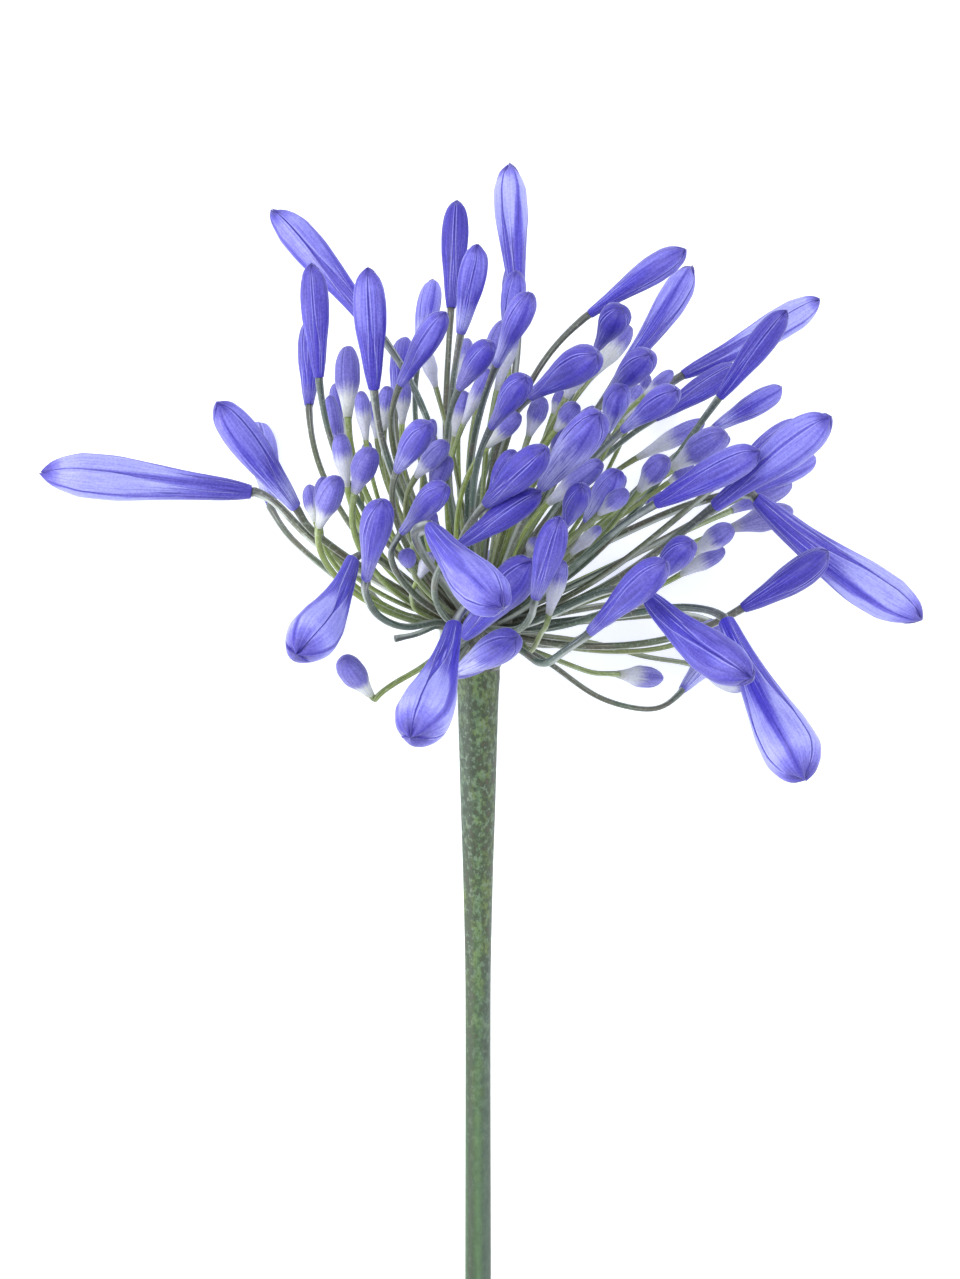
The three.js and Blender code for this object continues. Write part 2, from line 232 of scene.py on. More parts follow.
RIPE_COVER = ((0, 0.5), (0.2, 0.5), (0.35, 0.6), (0.5, 0.8), (0.62, 0.93), (0.7, 0.97), (1, 0.98))
HALF_COVER = ((0, 0.5), (0.15, 0.56), (0.35, 0.76), (0.5, 0.92), (0.62, 0.97), (1, 0.985))


class Stage(Enum):
    """How far a bud has grown, and whether its widest place is near its tip."""

    RIPE = BudForm(
        outline=((0, 0.3), (0.04, 0.38), (0.12, 0.49), (0.3, 0.63), (0.5, 0.84), (0.68, 0.99),
                 (0.8, 0.97), (0.88, 0.8), (0.94, 0.58), (0.98, 0.3), (1, 0.12)),
        cover=RIPE_COVER, lip=0.038, crisp=1.0, age=0.88, rows=60, white=0.0,
    )
    LATE = BudForm(
        outline=((0, 0.3), (0.05, 0.34), (0.16, 0.4), (0.36, 0.56), (0.54, 0.76), (0.7, 0.95),
                 (0.82, 1), (0.9, 0.83), (0.95, 0.58), (0.98, 0.32), (1, 0.12)),
        cover=RIPE_COVER, lip=0.038, crisp=1.0, age=1.0, rows=60, white=0.0,
    )
    HALF = BudForm(
        outline=((0, 0.34), (0.04, 0.4), (0.14, 0.54), (0.3, 0.7), (0.54, 0.96), (0.68, 1),
                 (0.8, 0.93), (0.9, 0.74), (0.95, 0.5), (0.98, 0.27), (1, 0.1)),
        cover=HALF_COVER, lip=0.035, crisp=0.6, age=0.5, rows=40, white=0.42,
    )
    PEAR = BudForm(
        outline=((0, 0.32), (0.05, 0.36), (0.17, 0.45), (0.36, 0.67), (0.54, 0.9), (0.68, 1),
                 (0.8, 0.96), (0.9, 0.75), (0.95, 0.52), (0.98, 0.28), (1, 0.1)),
        cover=HALF_COVER, lip=0.035, crisp=0.6, age=0.6, rows=44, white=0.36,
    )
    YOUNG = BudForm(
        outline=((0, 0.34), (0.05, 0.38), (0.25, 0.61), (0.54, 1), (0.72, 0.98), (0.84, 0.84),
                 (0.94, 0.58), (0.98, 0.36), (1, 0.16)),
        cover=((0, 0.55), (0.2, 0.7), (0.4, 0.92), (0.5, 0.97), (1, 0.98)),
        lip=0.02, crisp=0.25, age=0.1, rows=19, white=0.5,
    )


RIPE, LATE, HALF, PEAR, YOUNG = Stage.RIPE, Stage.LATE, Stage.HALF, Stage.PEAR, Stage.YOUNG


@dataclass(frozen=True)
class Bud:
    """One bud and the stalk that carries it.

    Attributes:
        name: The number of its solid.
        stage: How far it has grown.
        foot: Where its foot shows, (across, down).
        tip: Where its tip shows, (across, down).
        width: Picture units.
        foot_height: mm over the head's centre.
        tip_height: mm over the head's centre.
        bends: Points (across, down, height) that a bent stalk passes.
    """

    name: str
    stage: Stage
    foot: Place
    tip: Place
    width: float
    foot_height: float
    tip_height: float
    bends: tuple[Point, ...] = ()

    @property
    def start(self) -> np.ndarray:
        """The foot, in mm from the head's centre."""
        return seen(*self.foot, self.foot_height)

    @property
    def end(self) -> np.ndarray:
        """The tip, in mm from the head's centre."""
        return seen(*self.tip, self.tip_height)

    @property
    def axis(self) -> np.ndarray:
        """The unit vector from foot to tip."""
        return unit(self.end - self.start)

    @property
    def left(self) -> np.ndarray:
        """The level unit vector to the left of the way from foot to tip."""
        return unit(np.cross([0, 0, 1], self.axis))

    @property
    def length(self) -> float:
        """The length in mm."""
        return float(np.linalg.norm(self.end - self.start))

    @property
    def half_width(self) -> float:
        """Half the width in mm, at the bud's own height."""
        height = (self.foot_height + self.tip_height) / 2
        return self.width / 2 * UNIT * (1 - height / EYE_DISTANCE)


BUDS = [Bud(*row) for row in (
    ("01", RIPE, (251, 492), (41, 472), 46, -10, -4, ((370, 577, -3), (318, 545, -5), (283, 510, -8))),
    ("02", HALF, (295, 507), (216, 403), 37, 24, 38, ((400, 590, 9), (345, 556, 16), (305, 525, 21))),
    ("03", HALF, (271, 503), (257, 423), 31, -38, -60.5, ((383, 608, -12), (300, 547, -26))),
    ("04", RIPE, (381, 336), (273, 209), 35, -14, -22), ("05", HALF, (319, 377), (313, 263), 28.5, 14, 20),
    ("06", HALF, (309, 405), (312, 317), 26, -26, -36), ("07", HALF, (374, 389), (368, 268), 33, 34, 44),
    ("08", YOUNG, (348, 418), (348, 346), 25.5, -4, -10),
    ("09", HALF, (396, 402), (405, 337), 23, -12, -24), ("10", HALF, (401, 384), (445, 312), 27, 26, 40),
    ("11", YOUNG, (384, 430), (388, 386), 18, 6, 9), ("12", HALF, (419, 355), (434, 279), 24, -26, -36),
    ("12b", YOUNG, (436, 388), (425, 350), 15, 5, 7), ("13", HALF, (451, 308), (457, 200), 27, -6, -10),
    ("14", HALF, (461, 333), (479, 244), 28, 16, 24), ("15", RIPE, (518, 310), (509, 163), 34, -12, -16),
    ("16", HALF, (508, 345), (517, 271), 25, 10, 20), ("16b", YOUNG, (510, 335), (511, 263), 18, -34, -40),
    ("17", PEAR, (497, 365), (530, 294), 28, 36, 52), ("18", YOUNG, (497, 391), (516, 320), 18, 21, 23),
    ("19", YOUNG, (483, 385), (505, 320), 22, 2, 0), ("20", HALF, (460, 388), (490, 343), 26.5, 38, 52),
    ("21", YOUNG, (463, 425), (489, 369), 16, 20, 24), ("22", YOUNG, (461, 390), (467, 338), 19, -12, -18),
    ("23", YOUNG, (455, 437), (466, 391), 20, 14, 15), ("24", YOUNG, (417, 476), (446, 443), 22, 31, 40),
    ("25", YOUNG, (431, 492), (448, 457), 22, 27, 33),
    ("26", PEAR, (403, 532), (444, 486), 28, 44, 62,
     ((420, 600, 20), (398, 575, 34), (391, 560, 40), (392, 548, 46))),
    ("27", YOUNG, (418, 535), (433, 513), 20, 34, 40),
    ("28", RIPE, (431, 529), (502, 608), 50, 62, 90, ((425, 558, 40), (418, 545, 48), (413, 530, 58))),
    ("29", RIPE, (465, 636), (535, 561), 42, 30, 46), ("30", HALF, (460, 671), (517, 638), 34, 34, 55),
    ("31", HALF, (487, 504), (546, 450), 34, 52, 71), ("32", HALF, (461, 545), (541, 492), 28.5, 46, 58),
    ("33", HALF, (543, 487), (602, 415), 39, 44, 68), ("33b", YOUNG, (560, 450), (597, 407), 20, -4, -2),
    ("34", YOUNG, (529, 560), (537, 538), 16, 12, 14),
    ("35", HALF, (536, 598), (559, 519), 31, 50, 64, ((519, 630, 30), (532, 615, 38))),
    ("36", YOUNG, (549, 615), (562, 560), 20, 32, 36, ((520, 640, 12), (530, 653, 17), (542, 632, 26))),
    ("37", HALF, (566, 525), (583, 488), 26, 42, 58), ("38", YOUNG, (549, 503), (602, 462), 24, 26, 34),
    ("39", YOUNG, (410, 566), (406, 554), 18, 42, 50),
    ("40", YOUNG, (418, 580), (432, 553), 14, 24, 27, ((418, 612, 12), (412, 600, 17))),
    ("41", YOUNG, (402, 425), (404, 378), 16, 12, 13), ("42", YOUNG, (377, 440), (374, 398), 14, -6, -8),
    ("43", YOUNG, (366, 441), (361, 391), 16, 14, 16), ("44", YOUNG, (345, 440), (335, 383), 18, -14, -20),
    ("45", YOUNG, (341, 462), (329, 395), 18, 4, 4), ("46", YOUNG, (347, 487), (340, 433), 20, 12, 14),
    ("47", YOUNG, (355.5, 492), (371, 450), 26.5, 38, 46),
    ("48", YOUNG, (362, 490), (368, 441), 14, -4, -4),
    ("49", YOUNG, (319.5, 526), (337, 478), 26.5, 30, 40), ("50", YOUNG, (316, 523), (309, 485), 18, 0, -4),
    ("52", PEAR, (366.5, 579), (382, 501), 33, 44, 62,
     ((440, 622, 14), (405, 628, 24), (376, 615, 32), (365, 592, 38))),
    ("53", LATE, (352, 562), (297, 655), 50, 34, 66),
    ("54", YOUNG, (370, 694), (342, 659), 26.5, 8, 18,
     ((455, 640, 2), (424, 666, 4), (395, 683, 6), (376, 697, 8))),
    ("55", LATE, (454, 627), (414, 739), 56, 48, 80), ("56", HALF, (398, 470), (427, 424), 29, 40, 58),
    ("57", YOUNG, (424, 465), (433, 419), 14, 18, 20), ("58", PEAR, (492, 427), (526, 377), 28.5, 42, 58),
    ("59", YOUNG, (487, 447), (520, 414), 19, 28, 32), ("60", YOUNG, (529, 436), (543, 397), 20, 26, 28),
    ("61", PEAR, (532, 396), (598, 354), 37, 34, 54), ("62", PEAR, (598, 347), (622, 308), 31, 16, 26),
    ("63", YOUNG, (590, 378), (631, 326), 22, -2, -6), ("64", PEAR, (590, 314), (686, 249), 29, 12, 18),
    ("65", RIPE, (621, 372), (692, 265), 31, -16, -26), ("66", PEAR, (607, 398), (651, 353), 31, 20, 38),
    ("67", HALF, (608, 430), (621, 387), 26.5, 26, 38), ("68", YOUNG, (622, 420), (640, 385), 18, 0, -2),
    ("68b", YOUNG, (635, 410), (649, 375), 12, -16, -20), ("69", YOUNG, (644, 396), (673, 371), 14, 10, 10),
    ("70", PEAR, (624, 430), (677, 390), 28.5, 35, 52), ("71", RIPE, (683, 375), (821, 299), 32, -14, -20),
    ("72", HALF, (655, 418), (740, 365), 26, -8, -10), ("73a", YOUNG, (553, 415), (563, 390), 14, 6, 6),
    ("73b", YOUNG, (556, 430), (577, 404), 20, 28, 32), ("73c", YOUNG, (550, 455), (568, 425), 16, 14, 16),
    ("74", YOUNG, (566, 398), (585, 362), 20, 12, 14), ("75", HALF, (720, 397), (787, 310), 27.5, 20, 30),
    ("76", YOUNG, (640, 490), (666, 458), 25, 32, 40), ("78", HALF, (587, 521), (619, 472), 27.5, 28, 40),
    ("78b", YOUNG, (605, 505), (625, 475), 14, 6, 5), ("79", YOUNG, (600, 514), (626, 492), 19, 37, 46),
    ("80", YOUNG, (634, 502), (662, 493), 16, -2, -2), ("81", HALF, (657, 504), (760, 451), 35, 38, 50),
    ("82", YOUNG, (668, 483), (694, 465), 14, 11, 11), ("83", YOUNG, (674, 467), (725, 433), 30, 20, 30),
    ("83b", YOUNG, (690, 460), (730, 437), 16, 0, -1), ("84", YOUNG, (637, 458), (705, 421), 19, 6, 8),
    ("86", HALF, (714, 428), (783, 388), 24, -10, -16), ("87", HALF, (731, 474), (802, 422), 27, 2, -6),
    ("88", PEAR, (716, 506), (831, 417), 42, 34, 54), ("89", HALF, (750, 491), (815, 456), 27, -20, -30),
    ("90", YOUNG, (731, 510), (791, 483), 22, -40, -50),
    ("91", RIPE, (756, 499), (922, 619), 48, -2, 0, ((562, 565, -4), (670, 512, -7), (720, 496, -5))),
    ("92", YOUNG, (731, 528), (792, 510), 26, -20, -30),
    ("93", YOUNG, (695, 552), (733, 527), 23.5, 12, 16), ("94", YOUNG, (680, 575), (725, 549), 18, 6, 6),
    ("95", HALF, (656, 578), (690, 542), 30, 28, 40),
    ("96", PEAR, (591, 632), (666, 562), 35, 44, 62, ((521, 650, 20), (543, 665, 30), (565, 651, 38))),
    ("97", RIPE, (648, 597), (751, 680), 46, 38, 64), ("98", HALF, (743, 608), (829, 552), 32, 11, 15),
    ("99", LATE, (726, 622), (808, 779), 58, 22, 42, ((622, 615, 12), (681, 607, 18), (711, 611, 21))),
    ("100", YOUNG, (618, 674), (661, 678), 22, -20, -30, ((545, 655, -8), (590, 672, -15))),
    ("101", HALF, (682, 690), (720, 646), 22, -18, -32, ((545, 660, -5), (600, 698, -12), (655, 710, -16))),
    ("101b", YOUNG, (700, 668), (742, 689), 18, -38, -44, ((590, 642, -14), (644, 656, -26))),
    ("102", YOUNG, (570, 555), (601, 527), 14, 14, 15),
    ("103", YOUNG, (690, 639), (723, 624), 20, -10, -14),
    ("105", HALF, (462, 590), (492, 556), 30, -38, -60.5),
    ("106", HALF, (498, 600), (522, 578), 30, -38, -60.5),
    ("107", HALF, (478, 537), (528, 504), 26, -34, -46),
    ("108", HALF, (340, 585), (305, 640), 30, -34, -60.5),
    ("109", HALF, (440, 660), (420, 725), 32, -26, -50),
    ("110", HALF, (665, 615), (725, 662), 30, -37, -60.6),
    ("111", HALF, (550, 480), (592, 430), 30, -34, -50),
    ("112", HALF, (665, 498), (745, 458), 26, -42, -60.5),
    ("113", RIPE, (735, 640), (800, 755), 38, -32, -60.3, ((622, 617, -8), (690, 615, -20))),
    ("114", HALF, (374, 385), (369, 280), 26, -36, -46),
    ("115", HALF, (540, 390), (590, 357), 26, -40, -50),
    ("116", HALF, (402, 465), (428, 427), 26, -44, -60.5),
    ("117", HALF, (368, 570), (382, 510), 26, -36, -52),
    ("118", HALF, (630, 425), (672, 392), 26, -44, -60.5),
    ("119", HALF, (598, 625), (655, 570), 32, -40, -60.5),
    ("125", YOUNG, (436, 680), (489, 664), 15, 14, 20), ("126", HALF, (491, 501), (514, 452), 24, 38, 48),
    ("127", YOUNG, (320, 520), (325, 477), 19, 14, 18),
)]

# How far a bud's middle bows to the left of its way from foot to tip, as a share of its
# length.
BOWS = {
    "04": -0.012, "28": -0.02, "53": 0.03, "55": 0.02, "64": 0.012, "65": -0.02, "71": -0.018,
    "91": -0.034, "97": -0.03, "98": -0.02, "99": -0.012,
}

# How the clearest buds look: the degrees from straight up to an outer petal's midrib,
# towards the right of the bud's way, how pale the bud is, from -0.5, dark, to 1.25, and where
# its white foot ends as a share of its length, if not where its stage says.
LOOKS = {
    "01": (76, 1.25), "02": (-25, 0.5, 0.3), "04": (60, 0.6), "05": (55, 0.0, 0.0),
    "06": (20, -0.15, 0.2), "07": (58, 0.3, 0.0), "08": (30, 0.15, 0.42), "09": (20, 0.0, 0.3),
    "10": (40, 0.2, 0.12), "11": (0, 0.3, 0.6), "12": (15, 0.7, 0.5), "12b": (0, 0.5, 1.2),
    "13": (60, -0.35, 0.0), "14": (60, 0.3, 0.35), "15": (20, 1.0), "16": (25, 0.35, 0.5),
    "16b": (0, 0.2, 0.0), "17": (20, 0.15, 0.45), "18": (0, 0.45, 0.7), "19": (20, 0.45, 0.4),
    "20": (35, -0.3, 0.6), "21": (0, 0.5, 0.62), "22": (20, 0.35, 0.6), "23": (10, 0.35, 0.58),
    "24": (30, 0.9, 0.5), "25": (10, 0.2, 0.25), "26": (15, 0.0, 0.45), "28": (0, 0.4),
    "29": (25, 0.0, 0.0), "30": (15, 0.15, 0.6), "31": (60, -0.4, 0.12), "32": (50, -0.45, 0.05),
    "33": (12, 0.1, 0.75), "33b": (0, 0.3, 0.0), "34": (0, 0.5, 0.8), "35": (60, 0.0, 0.28),
    "36": (0, 0.45, 0.7), "37": (20, -0.4, 0.2), "38": (10, 0.9, 0.5), "39": (0, 0.1, 0.0),
    "40": (0, 0.6, 1.0), "41": (0, 0.3, 0.6), "42": (0, 0.0, 0.5), "43": (0, 0.4, 0.65),
    "44": (0, 0.1, 0.35), "45": (0, 0.3, 0.4), "46": (10, 0.35, 0.65), "47": (20, -0.1, 0.5),
    "48": (0, 0.4, 0.8), "49": (20, 0.35, 0.46), "50": (0, 0.25, 0.42), "52": (20, 0.0, 0.42),
    "53": (44, 0.9), "54": (15, 0.25, 0.48), "55": (-38, 0.85), "56": (30, 0.05, 0.5),
    "57": (10, 0.45, 0.45), "58": (20, -0.2, 0.45), "59": (0, 0.2, 0.55), "60": (0, 0.6, 0.5),
    "61": (30, -0.15, 0.2), "62": (10, -0.45, 0.25), "63": (10, 0.25, 0.68), "64": (-10, 0.2, 0.0),
    "65": (-10, 0.5), "66": (20, -0.05, 0.55), "67": (10, 0.35, 0.62), "70": (30, 0.1, 0.46),
    "71": (40, 1.15), "72": (30, -0.2, 0.2), "73a": (0, 0.0, 0.5), "73b": (0, 0.45, 0.5),
    "73c": (0, 0.0, 0.25), "74": (0, 0.7, 1.0), "75": (50, -0.2, 0.0), "76": (20, 0.2, 0.55),
    "78": (20, 0.7, 0.6), "79": (0, 0.5, 0.6), "81": (30, 0.25, 0.0), "82": (0, 0.2, 0.3),
    "83": (20, 0.3, 0.45), "83b": (0, 0.5, 0.7), "84": (0, 0.45, 0.6), "86": (0, 0.4, 0.3),
    "87": (20, 0.3, 0.0), "88": (40, 1.05, 0.0), "89": (30, 0.7, 0.0), "90": (0, 0.3, 0.1),
    "91": (22, 0.85), "92": (0, -0.2, 0.55), "93": (20, 0.45, 0.6), "94": (0, 0.5, 0.6),
    "95": (10, -0.1, 0.2), "96": (30, 0.1, 0.15), "97": (62, 0.15), "98": (-10, -0.35, 0.0),
    "99": (8, 0.8), "100": (0, 0.4, 0.5), "101": (0, 0.8, 0.6), "101b": (0, 1.0, 0.9),
    "102": (0, 0.9, 0.85), "103": (0, 0.4, 0.2), "126": (60, -0.1, 0.0), "127": (0, -0.5, 0.42),
}

# A stalk that has lost its bud, as points (across, down, height), and the width of the bud
# whose stalk would be as thick.
STUB = ((441, 625, 9), (418, 634, 13), (395, 639, 15))
STUB_WIDTH = 24


@dataclass
class Skin:
    """A closed skin: rings of points, and one point that closes each end.

    Attributes:
        rings: Points in mm from the head's centre, shaped (rows, sides, 3). Each ring turns
            right-handed about the way the rings run.
        start: The point that closes the first ring.
        end: The point that closes the last ring.
        marks: What the material reads, each shaped (rows, sides, 3).
    """

    rings: np.ndarray
    start: np.ndarray
    end: np.ndarray
    marks: dict[str, np.ndarray]

    def points(self) -> np.ndarray:
        """All the points: the start, the rings in order, the end."""
        return np.vstack([self.start, self.rings.reshape(-1, 3), self.end])

    def mark(self, name: str) -> np.ndarray:
        """One mark at all the points, with a closing point at the mean of its ring."""
        values = self.marks[name]
        return np.vstack([values[0].mean(0), values.reshape(-1, 3), values[-1].mean(0)])

    def faces(self, offset: int) -> tuple[np.ndarray, np.ndarray]:
        """Lists the faces, all with their front outwards.

        Args:
            offset: The number of points that come before this skin's.

        Returns:
            The quads between the rings, and the triangles that close both ends.
        """
        rows, sides, _ = self.rings.shape
        side = np.arange(sides)
        after = (side + 1) % sides
        row = 1 + sides * np.arange(rows - 1)[:, None]
        quads = np.stack([row + side, row + after, row + sides + after, row + sides + side], -1)
        last = 1 + sides * (rows - 1)
        first_cap = np.stack([np.zeros_like(side), 1 + after, 1 + side], -1)
        last_cap = np.stack([np.full_like(side, last + sides), last + side, last + after], -1)
        return quads.reshape(-1, 4) + offset, np.vstack([first_cap, last_cap]) + offset


def make_piece(name: str, skins: list[Skin], finish: bpy.types.Material,
               nodes: list[str]) -> bpy.types.Object:
    """Makes one object of some skins, in metres, and stands it in for CAD nodes.

    What would sink below the surface that the flower lies on is flattened on it.

    Args:
        name: The piece's name.
        skins: What it is made of.
        finish: Its material.
        nodes: The CAD nodes that it replaces.

    Returns:
        The object, at the origin.
    """
    points = np.vstack([skin.points() for skin in skins]) + HEAD_CENTRE
    points[:, 2] = np.maximum(points[:, 2], 0)
    offsets = np.cumsum([0] + [len(skin.points()) for skin in skins[:-1]])
    parts = [skin.faces(offset) for skin, offset in zip(skins, offsets)]
    quads = np.vstack([part[0] for part in parts])
    caps = np.vstack([part[1] for part in parts])
    mesh = bpy.data.meshes.new(name)
    mesh.vertices.add(len(points))
    mesh.vertices.foreach_set("co", (points * MM).ravel())
    mesh.loops.add(quads.size + caps.size)
    mesh.loops.foreach_set("vertex_index", np.concatenate([quads.ravel(), caps.ravel()]))
    mesh.polygons.add(len(quads) + len(caps))
    starts = np.concatenate([4 * np.arange(len(quads)), quads.size + 3 * np.arange(len(caps))])
    mesh.polygons.foreach_set("loop_start", starts)
    mesh.polygons.foreach_set("use_smooth", np.ones(len(starts), bool))
    mesh.update(calc_edges=True)
    for mark in skins[0].marks:
        attribute = mesh.attributes.new(mark, "FLOAT_VECTOR", "POINT")
        values = np.vstack([skin.mark(mark) for skin in skins])
        attribute.data.foreach_set("vector", values.astype(np.float32).ravel())
    mesh.validate()
    mesh.materials.append(finish)
    piece = bpy.data.objects.new(name, mesh)
    bpy.context.scene.collection.objects.link(piece)
    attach(piece, BODY)
    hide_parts(*nodes)
    return piece


class Wire:
    """A shader socket's value, on which Python's operators add Math nodes."""

    def __init__(self, paint: "Paint", socket: bpy.types.NodeSocket) -> None:
        """Wraps one output socket of a material that is being made."""
        self.paint = paint
        self.socket = socket

    def maths(self, operation: str, *values: "Wire | float") -> "Wire":
        """Adds a Math node.

        Args:
            operation: Blender's name for it, such as "MULTIPLY".
            values: Its inputs in order.

        Returns:
            Its result.
        """
        inputs = dict(enumerate(values))
        return self.paint.wire("ShaderNodeMath", {"operation": operation}, inputs)

    def __add__(self, other: "Wire | float") -> "Wire":
        """Adds."""
        return self.maths("ADD", self, other)

    def __radd__(self, other: float) -> "Wire":
        """Adds, with a number on the left."""
        return self.maths("ADD", other, self)

    def __sub__(self, other: "Wire | float") -> "Wire":
        """Takes away."""
        return self.maths("SUBTRACT", self, other)

    def __rsub__(self, other: float) -> "Wire":
        """Takes away from a number on the left."""
        return self.maths("SUBTRACT", other, self)

    def __mul__(self, other: "Wire | float") -> "Wire":
        """Multiplies."""
        return self.maths("MULTIPLY", self, other)

    def __rmul__(self, other: float) -> "Wire":
        """Multiplies, with a number on the left."""
        return self.maths("MULTIPLY", other, self)

    def __abs__(self) -> "Wire":
        """The size without the sign."""
        return self.maths("ABSOLUTE", self)

    def ease(self, low: "Wire | float", high: "Wire | float") -> "Wire":
        """Rises smoothly from 0 at low to 1 at high.

        Args:
            low: Where the rise starts.
            high: Where it ends.

        Returns:
            The eased value, clamped.
        """
        settings = {"interpolation_type": "SMOOTHSTEP"}
        inputs = {"Value": self, "From Min": low, "From Max": high}
        return self.paint.wire("ShaderNodeMapRange", settings, inputs)

    def fade(self, low: "Wire | float", high: "Wire | float") -> "Wire":
        """Falls smoothly from 1 at low to 0 at high."""
        return 1 - self.ease(low, high)

    def near(self, place: "Wire | float", reach: "Wire | float") -> "Wire":
        """Is 1 at a place, and falls smoothly to 0 at a reach to either side."""
        return abs(self - place).fade(0, reach)


class Paint:
    """A material that is being made, with one method for every kind of node."""

    def __init__(self, name: str) -> None:
        """Starts an empty material.

        Args:
            name: The material's name.
        """
        self.material = bpy.data.materials.new(name)
        self.material.use_nodes = True
        self.tree = self.material.node_tree
        self.tree.nodes.clear()

    def plug(self, socket: bpy.types.NodeSocket, value: object) -> None:
        """Fills a node's input.

        Args:
            socket: The input.
            value: A Wire, which is linked, or a plain value, which is set.
        """
        if isinstance(value, Wire):
            self.tree.links.new(value.socket, socket)
        else:
            socket.default_value = value

    def node(self, kind: str, settings: dict[str, object] | None = None,
             inputs: dict[str | int, object] | None = None) -> bpy.types.Node:
        """Adds a node.

        Args:
            kind: Its Blender type.
            settings: Its own properties, set before its sockets.
            inputs: For a socket's name or number, a Wire or a value.

        Returns:
            The node.
        """
        made = self.tree.nodes.new(kind)
        for key, value in (settings or {}).items():
            setattr(made, key, value)
        for key, value in (inputs or {}).items():
            self.plug(made.inputs[key], value)
        return made

    def wire(self, kind: str, settings: dict[str, object] | None = None,
             inputs: dict[str | int, object] | None = None, output: str | int = 0) -> Wire:
        """Adds a node and returns one of its outputs.

        Args:
            kind: Its Blender type.
            settings: Its own properties.
            inputs: For a socket's name or number, a Wire or a value.
            output: The name or number of the output.

        Returns:
            That output.
        """
        return Wire(self, self.node(kind, settings, inputs).outputs[output])

    def mark(self, name: str) -> Wire:
        """Reads a mark of the mesh as a vector."""
        return self.wire("ShaderNodeAttribute", {"attribute_name": name}, output="Vector")

    def split(self, vector: Wire) -> list[Wire]:
        """Splits a vector into its three numbers."""
        parts = self.node("ShaderNodeSeparateXYZ", inputs={"Vector": vector})
        return [Wire(self, socket) for socket in parts.outputs]

    def place(self) -> Wire:
        """The point on the object, in metres."""
        return self.wire("ShaderNodeTexCoord", output="Object")

    def stretch(self, vector: Wire, scale: Point) -> Wire:
        """Multiplies a vector's three numbers by three others."""
        return self.wire("ShaderNodeVectorMath", {"operation": "MULTIPLY"}, {0: vector, 1: scale})

    def noise(self, vector: Wire, scale: Point, detail: float, rough: float) -> Wire:
        """Reads soft noise.

        Args:
            vector: Where to read it.
            scale: Lumps to one unit of the vector, each way.
            detail: Octaves of finer noise.
            rough: How strong each finer octave is.

        Returns:
            A value about 0.5.
        """
        stretched = self.stretch(vector, scale)
        inputs = {"Vector": stretched, "Scale": 1.0, "Detail": detail, "Roughness": rough}
        return self.wire("ShaderNodeTexNoise", inputs=inputs, output="Fac")

    def mix(self, share: Wire | float, under: Wire | Colour, over: Wire | Colour,
            blend: str = "MIX") -> Wire:
        """Lays one colour over another.

        Args:
            share: How much of the upper one shows.
            under: The lower colour.
            over: The upper colour.
            blend: How the two meet.

        Returns:
            The mixed colour.
        """
        settings = {"data_type": "RGBA", "blend_type": blend, "clamp_factor": True}
        inputs = {"Factor": share, "A": under, "B": over}
        made = self.node("ShaderNodeMix", settings)
        for socket in made.inputs:
            if socket.enabled and socket.name in inputs:
                self.plug(socket, inputs[socket.name])
        return Wire(self, next(socket for socket in made.outputs if socket.enabled))

    def layers(self, colour: Wire | Colour, *coats: tuple[Wire | float, Wire | Colour]) -> Wire:
        """Lays coats over a colour, one after another.

        Args:
            colour: The lowest colour.
            coats: For each coat, how much of it shows, and its colour.

        Returns:
            The mixed colour.
        """
        for share, over in coats:
            colour = self.mix(share, colour, over)
        return colour

    def bump(self, height: Wire, strength: float, depth: float) -> Wire:
        """Turns a height into a relief on the surface.

        Args:
            height: 0 to 1.
            strength: Share of the full effect.
            depth: What a height of 1 stands for, in metres.

        Returns:
            The bumped normal.
        """
        inputs = {"Height": height, "Strength": strength, "Distance": depth}
        return self.wire("ShaderNodeBump", inputs=inputs, output="Normal")

    def surface(self, **sockets: object) -> bpy.types.Material:
        """Finishes the material with a Principled surface.

        Args:
            sockets: Values or Wires for its sockets, with _ for a space in the name.

        Returns:
            The material.
        """
        inputs = {name.replace("_", " "): value for name, value in sockets.items()}
        shader = self.wire("ShaderNodeBsdfPrincipled", inputs=inputs)
        self.node("ShaderNodeOutputMaterial", inputs={"Surface": shader})
        return self.material


@dataclass(frozen=True)
class PetalSkin:
    """What the petals' colours are worked out from.

    Attributes:
        across: 0 at an outer petal's midrib, 1 at its margin, 2 at an inner petal's midrib.
        along: 0 at the bud's foot, 1 at its tip.
        rib: The angle from the nearest midrib, as a share of 60 degrees.
        age: How old the bud is.
        tone: How pale it is.
        white: How far its white foot reaches, as a share of its length.
        older: 0 on a young bud, 1 on one that is half grown or more.
        ripe: 1 on a ripe bud.
        streak: Noise in streaks along the bud.
        vein: Noise in fine streaks.
        cloud: Noise in broad lumps.
        fibre: Noise in very long lines.
    """

    across: Wire
    along: Wire
    rib: Wire
    age: Wire
    tone: Wire
    white: Wire
    older: Wire
    ripe: Wire
    streak: Wire
    vein: Wire
    cloud: Wire
    fibre: Wire


